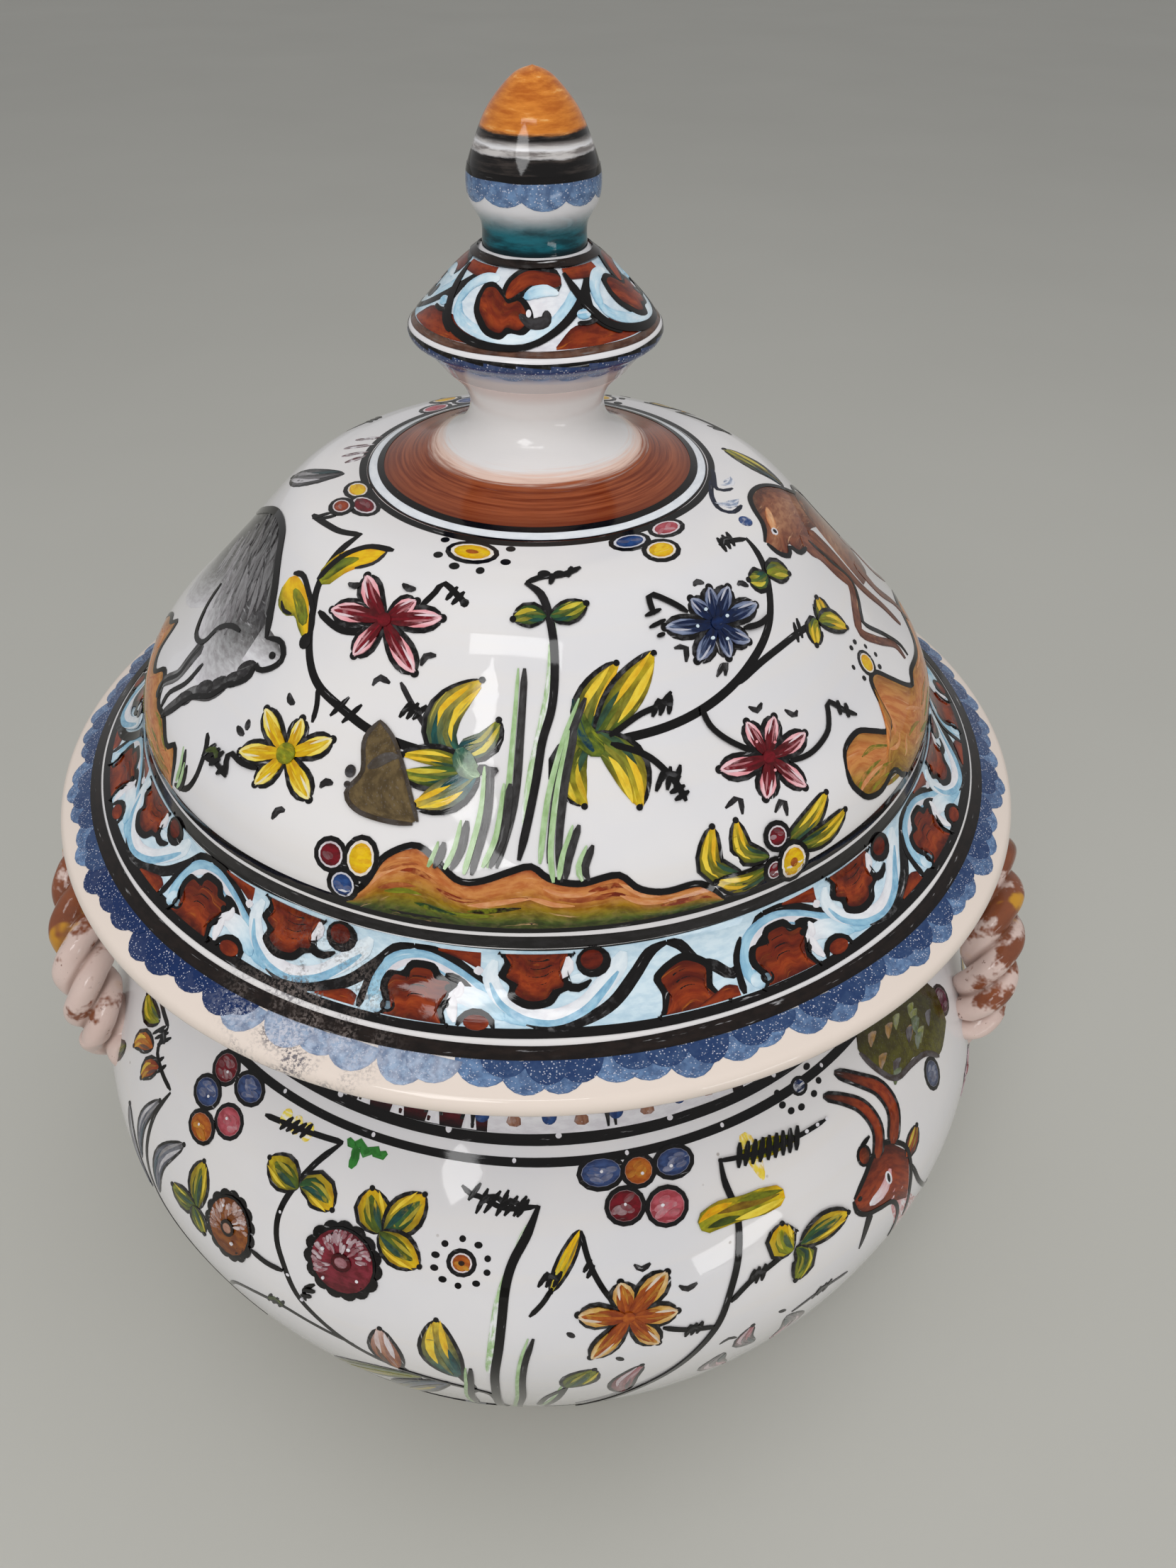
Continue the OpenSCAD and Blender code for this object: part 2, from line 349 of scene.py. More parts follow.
foot_outline = ([(66, 0.6), (66.6, 0)] + arc((73, 1), 1, -90, 0, 4) + curve([(73.9, 1.6), (72.5, 4.5), (75, 9)], 6)
                + [(63, 9), (64.5, 1.9)])
throw("foot_ring_clay", foot_outline, clay, "pot", ("foot_ring",), 192)
ring_outline = ([(78.5, 177)] + arc((79.5, 169), 1, 180, 270, 4) + arc((82.5, 170), 2, -90, 0, 5) + [(84.5, 177)])
throw("lid_ring_glaze", ring_outline, thin_glaze, "lid", ("lid_ring",), 192)
print("foot ring stands", foot_outline[1][0], "to", 73, "mm from the axis")

# %% [markdown]
# ## Collar, disc and bud
# The finial is banded on the wheel. A loaded brush held still on turning clay leaves fine lines all the way round,
# so the noise is stretched along the turn: it reads the direction from the axis and the height, never the angle,
# which would leave a seam at the back.

# %% Collar, disc and bud
def around(made, x, y, z, radius, fine):
    """Fine lines round the axis. The same pattern has no seam anywhere."""
    parts = {"X": made.sum("DIVIDE", x, radius), "Y": made.sum("DIVIDE", y, radius),
             "Z": made.sum("MULTIPLY", made.sum("ADD", z, made.sum("MULTIPLY", radius, -0.9)), fine)}
    return made.noise(made.node("CombineXYZ", parts), 1.3, 5, 0.62)


collar = Finish("sienna collar", 0.05)
place, x, y, z, radius = collar.where()
lines = around(collar, x, y, z, radius, 900)
brushed = collar.mix(collar.fade(lines, 0.30, 0.70), tone(108, 40, 14), tone(160, 84, 48))
worn_edge = collar.sum("ADD", radius, collar.sum("MULTIPLY", collar.sum("SUBTRACT", lines, 0.5), 0.006))
salmon = collar.mix(collar.fade(worn_edge, 0.0222, 0.0246), tone(236, 204, 188), brushed)
fading = collar.mix(collar.fade(worn_edge, 0.0196, 0.0226), tone(240, 237, 236), salmon)
deep = collar.mix(collar.fade(worn_edge, 0.030, 0.0360, 0, 0.65), fading, tone(84, 30, 12))
collar.colour(collar.mix(collar.fade(z, 0.268, 0.272, 0, 0.5), deep, tone(222, 190, 182)))
collar.bump(lines, 0.00006, 0.3)

disc = Finish("disc glaze", 0.08)
place, x, y, z, radius = disc.where()
lines = around(disc, x, y, z, radius, 700)
washed = disc.mix(disc.fade(lines, 0.35, 0.65), tone(60, 66, 104), tone(150, 160, 196))
height = disc.sum("ADD", z, disc.sum("MULTIPLY", disc.sum("SUBTRACT", lines, 0.5), 0.003))
below_edge = disc.mix(disc.fade(height, 0.2748, 0.2768), tone(222, 213, 213), washed)
disc.colour(disc.mix(disc.fade(height, 0.2795, 0.2800), below_edge, tone(226, 224, 226)))
disc.bump(lines, 0.00005, 0.3)

bud = Finish("banded bud", 0.07)
place, x, y, z, radius = bud.where()
lines = around(bud, x, y, z, radius, 420)
height = bud.sum("ADD", z, bud.sum("MULTIPLY", bud.sum("SUBTRACT", lines, 0.5), 0.0016))


def band(under, low, high, paint, soft=0.0003):
    """One painted band between two heights on the bud, over what is under it."""
    inside = bud.sum("MULTIPLY", bud.fade(height, low - soft, low + soft),
                     bud.fade(height, high - soft, high + soft, 1, 0))
    return bud.mix(inside, under, paint)


orange = bud.mix(bud.fade(lines, 0.30, 0.66), tone(176, 92, 22), tone(214, 132, 48))
orange = bud.mix(bud.fade(lines, 0.58, 0.74, 0, 0.8), orange, tone(240, 190, 122))
dark = bud.mix(bud.fade(lines, 0.42, 0.72), tone(14, 11, 11), tone(70, 62, 58))
grey = bud.mix(bud.fade(lines, 0.40, 0.60), tone(120, 114, 112), tone(196, 192, 190))
teal = bud.mix(bud.fade(lines, 0.35, 0.65), tone(2, 56, 66), tone(20, 104, 118))
skin = bud.mix(bud.fade(height, 0.3002, 0.3042), tone(104, 138, 146), tone(226, 225, 228))
skin = band(skin, 0.2900, 0.3006, teal, 0.0012)
skin = bud.mix(bud.fade(height, 0.2974, 0.2962), skin, tone(0, 30, 38))
skin = band(skin, 0.3098, 0.3132, dark)
skin = band(skin, 0.3132, 0.3143, grey)
skin = band(skin, 0.3148, 0.3162, grey, 0.0004)
skin = band(skin, 0.3154, 0.3172, dark, 0.0004)
bud.colour(bud.mix(bud.fade(height, 0.3164, 0.3172), skin, orange))
bud.bump(lines, 0.00006, 0.35)

throw("collar_glaze", [(0, 249.5)] + stem_out + [(0, 272.6)], collar, "lid", ("finial_stem",), 192)
throw("disc_glaze", [(0, 272.6)] + disc_out + [(0, 295.7)], disc, "lid", ("finial_disc",), 192)
throw("bud_glaze", [(0, 295.7)] + bud_out, bud, "lid", ("finial_bud",), 144)
print("the bud's tip is at", bud_out[-1][1], "mm")

# %% [markdown]
# ## Enamel
# The painter's colours lie on the white glaze as thin raised strokes. Each point of a stroke holds its own colour
# and how full the brush was there, so one material serves them all. The stroke's UV map runs along and across it,
# in units of 100 mm, and the noise is stretched along it, which gives the marks of the bristles. Where the brush
# ran dry the white shows through, and along the sides the colour pools darker.

# %% Enamel
def stroke_facts(made):
    """What a stroke knows about itself: its paint, what shows where it is thin, its fullness, side and course."""
    named = [made.node("Attribute", out=out, attribute_name=name)
             for name, out in (("paint", 0), ("under", 0), ("paint", 3), ("side", 2))]
    return named + [made.node("UVMap", uv_map="stroke"), made.node("TexCoord", out=3)]


enamel = Finish("brushed enamel", 0.04)
paint, under, full, side, along, place = stroke_facts(enamel)
bristle = enamel.noise(enamel.stretch(along, (12, 110, 1)), 1.0, 4, 0.6)
cloud = enamel.noise(enamel.stretch(along, (30, 70, 1)), 1.0, 4, 0.6)
thin = enamel.sum("SUBTRACT", 1.0, full)
dry = enamel.fade(enamel.sum("ADD", bristle, enamel.sum("MULTIPLY", thin, 0.34)), 0.66, 0.82, 0, 0.9)
glow = enamel.sum("MULTIPLY", enamel.fade(enamel.noise(enamel.stretch(along, (45, 60, 1)), 1.0, 3), 0.46, 0.72),
                  enamel.fade(thin, 0.08, 0.5, 0, 0.9))
deep = enamel.mix(enamel.fade(cloud, 0.36, 0.66, 0.0, 0.8), paint, enamel.darker(paint, tone(140, 126, 126)))
pooled = enamel.mix(enamel.fade(side, 0.5, 1.0, 0, 0.5), deep, enamel.darker(deep, tone(120, 108, 108)))
pooled = enamel.mix(glow, pooled, under)
enamel.colour(worn(enamel, place, enamel.mix(dry, pooled, under), tone(104, 94, 90)))
enamel.bump(bristle, 0.00003, 0.3)


def speckled(name, deep, open_holes, dust):
    """A wash over the glaze, with tiny bubbles that broke and settled clouds of colour."""
    made = Finish(name, 0.08)
    paint, under, full, side, along, place = stroke_facts(made)
    cells = made.node("TexVoronoi", {"Vector": along, "Scale": 165.0})
    patchy = made.fade(made.noise(made.stretch(along, (26, 26, 1)), 1.0, 4), 0.30, 0.50)
    holes = made.sum("MULTIPLY", made.fade(cells, 0.16, 0.30, 1, 0), made.sum("MULTIPLY", patchy, full))
    cloud = made.fade(made.noise(made.stretch(along, (44, 44, 1)), 1.0, 5, 0.65), 0.36, 0.64, 0, 0.85)
    wash = made.mix(cloud, paint, made.mix(0.7, paint, deep))
    rim = made.mix(made.fade(side, 0.82, 0.98, 0, 0.6), wash, made.mix(0.5, wash, deep))
    bare = made.mix(1.0, under, tone(238, 240, 250), "MULTIPLY")
    thin = made.fade(made.noise(made.stretch(along, (30, 60, 1)), 1.0, 4), 0.35, 0.65, 0.2, 1.0)
    pale = made.mix(made.sum("MULTIPLY", made.sum("SUBTRACT", 1.0, full), thin), rim, bare)
    made.colour(worn(made, place, made.mix(made.sum("MULTIPLY", holes, open_holes), pale, bare), dust))
    made.bump(made.noise(made.stretch(along, (150, 150, 1)), 1.0, 3), 0.00003, 0.3)
    return made


blue_wash = speckled("blue wash", tone(14, 44, 92), 0.75, tone(196, 198, 210))
earth_wash = speckled("earth wash", tone(44, 32, 16), 0.05, tone(200, 190, 180))
print("enamel has", len(enamel.tree.nodes), "nodes and a wash", len(blue_wash.tree.nodes))

# %% [markdown]
# ## Strokes
# A stroke starts as a flat grid. Its columns are stations along the brush's path and its rows run across the
# brush. Each corner is moved to its own place on the wall, a hair above the strokes laid before it, and at the end
# a thin wall closes every stroke underneath. Widths are in millimetres and may change along the path.

# %% Strokes
INK, SEPIA, RUST, BRICK = tone(14, 10, 10), tone(52, 34, 24), tone(104, 28, 8), tone(156, 62, 18)
OCHRE, YELLOW, LEMON = tone(184, 104, 26), tone(232, 194, 14), tone(240, 224, 96)
OLIVE, MOSS, GREEN, TEAL = tone(136, 142, 26), tone(84, 102, 30), tone(52, 92, 50), tone(30, 98, 104)
CRIMSON, PINK, BLUSH = tone(120, 6, 26), tone(186, 88, 100), tone(240, 186, 192)
LAVENDER = tone(112, 144, 184)
NAVY, BLUE, SKY, PALE = tone(10, 38, 86), tone(44, 80, 138), tone(168, 208, 226), tone(228, 238, 243)
GREY, SMOKE, WHITE, MINT = tone(120, 120, 120), tone(58, 56, 58), tone(234, 233, 236), tone(190, 214, 174)


def blend(a, b, share):
    return tuple(p + (q - p) * share for p, q in zip(a, b))


def sampled(values, t):
    """A value from a short list that is spread evenly from 0 to 1."""
    if not isinstance(values, (list, tuple)):
        return values
    at = t * (len(values) - 1)
    i = min(int(at), len(values) - 2)
    return values[i] + (values[i + 1] - values[i]) * (at - i)


ENDS = {
    "flat": lambda t: 1.0,
    "line": lambda t: min(1.0, 0.45 + 9 * min(t, 1 - t)),
    "round": lambda t: math.sqrt(max(0.0, 1 - (2 * t - 1) ** 2)),
    "leaf": lambda t: math.sin(math.pi * t) ** 0.8,
    "petal": lambda t: math.sin(math.pi * t ** 1.4) ** 0.72,
    "lily": lambda t: math.sin(math.pi * t ** 1.1) ** 1.05,
    "drop": lambda t: math.sin(math.pi * t ** 0.7) ** 0.7,
    "flick": lambda t: (1 - t) ** 0.7,
    "fan": lambda t: math.sqrt(max(0.0, 1 - (1 - t) ** 2)),
}


FIRST_LIFT, NEXT_LIFT, THICKNESS = 0.05, 0.015, 0.3
CELL_TURN, CELL_UP = 1.3, 2.4
RING_KNOTS = 24


class Painting:
    """Strokes on one wall that become one piece."""

    def __init__(self, name, wall, body, finish=None, turned=0):
        self.name, self.wall, self.body, self.finish = name, wall, body, finish or enamel
        self.turned = turned
        self.bm = bmesh.new()
        self.uv = self.bm.loops.layers.uv.new("stroke")
        self.paint = self.bm.verts.layers.float_color.new("paint")
        self.under = self.bm.verts.layers.float_color.new("under")
        self.side = self.bm.verts.layers.float.new("side")

    def lay(self, low, high, tints, full, rows, upward=False, under=None):
        """Bends a grid between two lists of places on the wall, a hair above all that is there."""
        columns = len(low) - 1
        if sum((b[0] - a[0]) * (d[1] - a[1]) - (b[1] - a[1]) * (d[0] - a[0])
               for a, b, d in zip(low, low[1:], high)) < 0:
            low, high = high, low
        grid = bmesh.ops.create_grid(self.bm, x_segments=columns, y_segments=rows, size=1.0)["verts"]
        shift = dice.random() * 9
        length = [0.0]
        for a, b in zip(low, low[1:]):
            r = self.wall.at(a[1])[0]
            length.append(length[-1] + math.hypot(math.radians(b[0] - a[0]) * r, b[1] - a[1]))
        faces, spots = {}, {}
        for vert in grid:
            k, v = round((vert.co.x + 1) / 2 * columns), (vert.co.y + 1) / 2
            turn = low[k][0] + (high[k][0] - low[k][0]) * v + self.turned
            up = low[k][1] + (high[k][1] - low[k][1]) * v
            spots[vert] = (k, v, turn, up, (round(turn % 360 / CELL_TURN), round(up / CELL_UP)))
        lift = max(self.wall.laid.get(spot[4], FIRST_LIFT) for spot in spots.values()) + NEXT_LIFT
        for vert, (k, v, turn, up, cell) in spots.items():
            self.wall.laid[cell] = lift
            t = v if upward else k / columns
            span = math.hypot(math.radians(high[k][0] - low[k][0]) * self.wall.at(up)[0], high[k][1] - low[k][1])
            vert.co = self.wall.place(turn, up, lift)
            one = tints[0] if len(tints) == 1 else blend(*self.pick(tints, t))
            vert[self.paint] = (*one[:3], sampled(full, t))
            vert[self.under] = under or WHITE
            vert[self.side] = abs(2 * v - 1)
            faces[vert] = (length[k] / 100 + shift, (v - 0.5) * span / 100 + shift)
        for face in {f for vert in grid for f in vert.link_faces}:
            for loop in face.loops:
                loop[self.uv].uv = faces[loop.vert]

    @staticmethod
    def pick(tints, t):
        at = t * (len(tints) - 1)
        i = min(int(at), len(tints) - 2)
        return tints[i], tints[i + 1], at - i

    def brush(self, path, width, *tints, ends="line", full=0.85, grow=0.0, under=None):
        """One stroke along a path of (turn, up) knots. A grow of 1 makes it 1 mm wider each side."""
        smooth = curve(path, 6) if len(path) > 2 else [Vector(p) for p in path]
        lengths = [0.0]
        for a, b in zip(smooth, smooth[1:]):
            r = self.wall.at((a.y + b.y) / 2)[0]
            lengths.append(lengths[-1] + math.hypot(math.radians(b.x - a.x) * r, b.y - a.y))
        count = max(4 if ends == "line" else 7, min(400, round(lengths[-1] / self.wall.grain)))
        low, high = [], []
        j = 0
        for k in range(count + 1):
            t = k / count
            if ends not in ("line", "flat"):
                t = 0.5 - 0.5 * math.cos(math.pi * t)
            far = t * lengths[-1]
            while j < len(lengths) - 2 and lengths[j + 1] < far:
                j += 1
            step_share = (far - lengths[j]) / max(1e-9, lengths[j + 1] - lengths[j])
            step = smooth[j + 1] - smooth[j]
            spot = smooth[j] + step * step_share
            r = self.wall.at(spot.y)[0]
            if len(smooth) > 2:
                a, b = smooth[max(j - 1, 0)], smooth[min(j + 2, len(smooth) - 1)]
                run = Vector((math.radians(b.x - a.x) * r, b.y - a.y)).normalized()
            else:
                run = Vector((math.radians(step.x) * r, step.y)).normalized()
            half = sampled(width, t) / 2 * ENDS[ends](min(1.0, max(0.0, t))) + grow * min(1, 12 * min(t, 1 - t) + 0.3)
            aside = (math.degrees(-run.y * half / r), run.x * half)
            low.append((spot.x - aside[0], spot.y - aside[1]))
            high.append((spot.x + aside[0], spot.y + aside[1]))
        wide = max(sampled(width, k / 8) for k in range(9)) + 2 * grow
        self.lay(low, high, tints, full, max(1, min(9, round(wide / self.wall.grain))), under=under)
        return self

    def wash(self, low, high, *tints, full=0.6, count=24, rows=6, under=None):
        """Fills the space between a lower and an upper path."""
        low, high = (self.spread(side, count) for side in (low, high))
        self.lay(low, high, tints, full, rows, upward=True, under=under)
        return self

    @staticmethod
    def spread(path, count):
        """A path as count + 1 places: evenly along a straight one, or picked off the curve."""
        if len(path) == 2:
            first, last = (Vector(p) for p in path)
            picked = [first.lerp(last, k / count) for k in range(count + 1)]
        else:
            smooth = curve(path, 8)
            picked = [smooth[min(len(smooth) - 1, round(k / count * (len(smooth) - 1)))] for k in range(count + 1)]
        return [(p.x, p.y) for p in picked]

    def spot(self, at, size, *tints, full=0.9, grow=0.0, lean=0.0, under=None):
        """A dot or an oval, laid down as a very short round stroke."""
        wide, tall = size if isinstance(size, tuple) else (size, size)
        r = self.wall.at(at[1])[0]
        wide, tall = wide + 2 * grow, tall + 2 * grow
        half = math.degrees(wide / 2 / r)
        rise = math.tan(math.radians(lean)) * wide / 2
        return self.brush([(at[0] - half, at[1] - rise), (at[0] + half, at[1] + rise)], tall, *tints, ends="round",
                          full=full, under=under)

    def ring(self, up, width, *tints, full=0.8, wander=0.25, under=None):
        """A line banded all the way round on the wheel. It starts and ends at the back."""
        knots = [(180 + 360 * k / RING_KNOTS, up + wander * (dice.random() - 0.5)) for k in range(RING_KNOTS)]
        path = curve(knots + [(180 + 360, knots[0][1])], 10)
        edges = [width / 2 * (0.9 + 0.2 * dice.random()) for _ in range(RING_KNOTS)]
        edges.append(edges[0])
        low = [(p.x, p.y - sampled(edges, k / (len(path) - 1))) for k, p in enumerate(path)]
        high = [(p.x, p.y + sampled(edges, k / (len(path) - 1))) for k, p in enumerate(path)]
        self.lay(low, high, tints, full, max(1, round(width / self.wall.grain)), under=under)
        return self

    def dry(self, slot="painted_enamel"):
        """Merges the rings' ends and gives every stroke its thickness."""
        bmesh.ops.remove_doubles(self.bm, verts=self.bm.verts, dist=1e-9)
        for edge in self.bm.edges:
            edge.smooth = not edge.is_boundary
        piece = shelve(self.name, self.bm, self.finish, self.body)
        skin = piece.modifiers.new("thickness", "SOLIDIFY")
        skin.thickness = THICKNESS * MM
        skin.offset = -1.0
        return piece


print("a stroke end is one of", sorted(ENDS))

# %% [markdown]
# ## Berries, leaves and flowers
# The painter repeats a few small figures. Each is drawn the way the hand does it: an ink outline, a pale ground
# inside it, then one or two loaded strokes of colour.

# %% Berries, leaves and flowers
def berry(on, at, size, tint, line=1.05, heart=None, gap=True):
    """An inked oval with a pale ground and a loaded spot of colour. Without a gap the colour reaches the ink."""
    wide, tall = size if isinstance(size, tuple) else (size, size)
    on.spot(at, size, INK, grow=line)
    on.spot(at, size, blend(tint, WHITE, 0.85 if gap else 0.35), full=1.0)
    share, r = 0.84 if gap else 0.97, on.wall.at(at[1])[0]
    on.spot(at, (wide * share, tall * share), blend(tint, INK, 0.25), tint, blend(tint, INK, 0.1), full=0.9,
            under=blend(tint, WHITE, 0.5))
    shine = LEMON if tint[1] > 0.1 > 2 * tint[2] else WHITE
    for k in range(3 if gap else 8):
        angle, far = math.tau * dice.random(), 0.3 * dice.random() ** 0.6
        on.spot((at[0] + math.degrees(math.cos(angle) * wide * far / r), at[1] + math.sin(angle) * tall * far),
                (wide * 0.34, tall * 0.22), blend(tint, shine, 0.1 + 0.34 * dice.random()),
                full=0.55, lean=60 * dice.random() - 30, under=tint)
    if heart:
        on.spot(at, (wide * 0.3, tall * 0.25), heart, full=0.8, under=tint)


def lick(on, path, wide, *strokes, under=None):
    """Thin strokes inside a figure: how far aside each runs, its start, its end, its width and its tint."""
    smooth = curve(path, 6)
    last = len(smooth) - 1
    for aside, start, end, fat, tint in strokes:
        places = []
        for t in (start, (start + end) / 2, end):
            k = max(1, min(last - 1, round(t * last)))
            r = on.wall.at(smooth[k].y)[0]
            run = smooth[k + 1] - smooth[k - 1]
            run = Vector((math.radians(run.x) * r, run.y)).normalized() * wide * aside * ENDS["leaf"](0.12 + 0.76 * t)
            spot = smooth[round(t * last)]
            places.append((spot.x - math.degrees(run.y / r), spot.y + run.x))
        on.brush(places, wide * fat, tint, ends="leaf", full=[0.92, 0.88, 0.55], under=under)


def leaf(on, path, width, base, tip, line=1.0, ends="leaf", edge=0, rim=False):
    """A leaf from its foot to its tip, inked all round, or on one side only. A rimmed one is pale with a dark core."""
    r = on.wall.at(path[0][1])[0]
    run = Vector((math.radians(path[-1][0] - path[0][0]) * r, path[-1][1] - path[0][1])).normalized()
    aside = (math.degrees(-run.y * edge * 0.7 / r), run.x * edge * 0.7)
    on.brush([(t + aside[0], u + aside[1]) for t, u in path], width, INK, ends=ends, grow=0.4 if edge else line)
    wide, s = max(width) if isinstance(width, list) else width, dice.choice((-1, 1))
    light = blend(tip, LEMON if tip[2] < 0.05 else WHITE, 0.75)
    if rim:
        on.brush(path, width, base, blend(tip, base, 0.4), tip, ends=ends, full=0.9, under=light)
        lick(on, path, wide, (0.04 * s, 0, 0.86, 0.56, base), (-0.1 * s, 0.1, 0.72, 0.2, blend(base, TEAL, 0.6)),
             (0.16 * s, 0.3, 0.8, 0.14, blend(base, light, 0.6)), (-0.34 * s, 0.3, 0.9, 0.12, light), under=tip)
    else:
        on.brush(path, width, base, base, blend(base, tip, 0.4), tip, ends=ends, full=[0.95, 0.85, 0.8], under=light)
        lick(on, path, wide, (0.24 * s, 0.3, 0.92, 0.26, light), (-0.2 * s, 0.42, 0.96, 0.2, blend(tip, light, 0.5)),
             (-0.28 * s, 0.08, 0.6, 0.2, blend(base, TEAL, 0.5)), (0.08 * s, 0.12, 0.7, 0.16, blend(base, light, 0.3)),
             under=base)
    on.spot(path[-1], 1.3, INK)


def flower(on, middle, tips, width, heart, tip, ends="petal"):
    """Petals drawn outwards from the middle, each inked all round, pale at its tip and streaked dark from its foot."""
    r = on.wall.at(middle[1])[0]
    petals = []
    for turn, up in tips:
        dx, dy = math.radians(turn - middle[0]) * r, up - middle[1]
        far = math.hypot(dx, dy)
        foot = (middle[0] + (turn - middle[0]) * 0.5 / far, middle[1] + dy * 0.5 / far)
        sway = 0.9 * (dice.random() - 0.5)
        half = ((foot[0] + turn) / 2 + math.degrees(dy / far * sway / r), (foot[1] + up) / 2 - dx / far * sway)
        petals.append(([foot, half, (turn, up)], width * (0.62 + 0.16 * dice.random())))
    for path, wide in petals:
        on.brush(path, wide, INK, ends=ends, grow=1.1)
        on.spot(path[2], 1.8, INK)
    for path, wide in petals:
        on.brush(path, wide, blend(tip, heart, 0.3), tip, blend(tip, WHITE, 0.5), ends=ends, full=0.85,
                 under=blend(tip, WHITE, 0.6))
        lick(on, path, wide, (0, 0, 0.88, 0.6, heart), (0.24, 0, 0.6 + 0.2 * dice.random(), 0.3, heart),
             (-0.24, 0, 0.6 + 0.2 * dice.random(), 0.34, heart), (0.2, 0.5, 0.96, 0.14, blend(tip, WHITE, 0.7)),
             (-0.12, 0.3, 0.84, 0.12, blend(heart, tip, 0.6)), under=tip)
    on.spot(middle, (3.0, 2.8), heart, full=0.98)


def line(on, *paths, width=1.1, tint=INK):
    for path in paths:
        on.brush(list(path), width, tint, ends="line", full=0.95)


def dots(on, places, size=1.3, tint=INK):
    for at in places:
        on.spot(at, (size * (0.9 + 0.4 * dice.random()), size), tint, full=1.0)


def moved(at, stretch=1):
    """Sets a figure's places, which are given from its own middle, at their turn on the wall."""
    def to(*places):
        return [(at + turn * stretch, up) for turn, up in places]
    return to


print("a petal is drawn with 8 strokes")

# %% [markdown]
# ## Bands on the brim
# The scallops are pressed on first, one fat round stroke each, edge over edge. Then the lid turns on the banding
# wheel and a loaded brush, held against it, leaves even lines that trim the scallops' upper ends.

# %% Bands on the brim
scallops = Painting("brim_scallops", lid_wall, "lid", blue_wash)
count = 88
for first, step in ((0, 2), (1, 2), (0, 1)):
    for k in range(first, count, step):
        turn = -180 + 360 * (k + 0.4) / count + 0.7 * math.sin(k * 2.4)
        navy, smeared = -64 < turn < -33, -33 < turn < -9
        drop = 9.9 + 0.9 * math.sin(k * 1.7)
        tint = NAVY if navy else blend(LAVENDER, NAVY, 0.1 + 0.3 * math.sin(k * 0.9) ** 2)
        if smeared:
            tint = blend(LAVENDER, PALE, 0.25)
        if step == 2:
            scallops.brush([(turn, drop), (turn + 0.3, 15.6)], 11.2, tint, tint, blend(tint, NAVY, 0.3), ends="fan",
                           full=0.72 if smeared else 0.97)
        elif not smeared:
            scallops.brush([(turn + 2.0, drop + 1.9), (turn + 2.2, 16.0)], 9.0, blend(tint, NAVY, 0.75), ends="fan",
                           full=1.0)
scallops.dry()

brim = Painting("brim_bands", lid_wall, "lid")
brim.ring(17.2, 2.9, INK, blend(INK, SEPIA, 0.3), INK, full=[0.98, 0.9, 0.98], wander=0.35)
brim.ring(21.1, 3.0, INK, full=0.98, wander=0.4)
brim.ring(36.75, 0.7, INK, full=0.95, wander=0.15)
brim.ring(38.5, 2.5, blend(SMOKE, INK, 0.7), full=0.9, under=GREY)
brim.ring(42.0, 2.6, INK, full=0.98)
brim.dry()
print(count, "scallops and 5 bands")

# %% [markdown]
# ## Scrolls on the brim
# A black vine waves round a pale blue band. Its hollows are filled with rust, each patch fenced in by black lobes,
# and the white glaze is left bare in fingers like acanthus. One figure serves every arch, another every trough, and
# both are stretched to the space that the painter had left.

# %% Scrolls on the brim
def club(on, back, lobed, fence=1.6):
    """A rust patch between a straight or lobed back and a lobed side, fenced in by a black line of even width."""
    both = lobed + back if len(back) > 2 else lobed
    centre = sum((Vector(p) for p in both), Vector((0, 0))) / len(both)
    r = on.wall.at(centre.y)[0]
    wide = math.degrees(fence / r)

    def grown(side):
        for p in side:
            away = Vector((math.radians(p[0] - centre.x) * r, p[1] - centre.y)).normalized() * fence
            yield p[0] + math.degrees(away.x / r), p[1] + away.y

    foot = list(grown(back)) if len(back) > 2 else [(back[0][0] - wide, back[0][1]), (back[-1][0] + wide, back[-1][1])]
    on.wash(foot, list(grown(lobed)), INK, full=1.0, count=40, rows=6)
    on.wash(back, lobed, RUST, BRICK, RUST, blend(RUST, BRICK, 0.5), full=0.84, count=40, rows=6, under=OCHRE)


ARCH_SPAN = 30


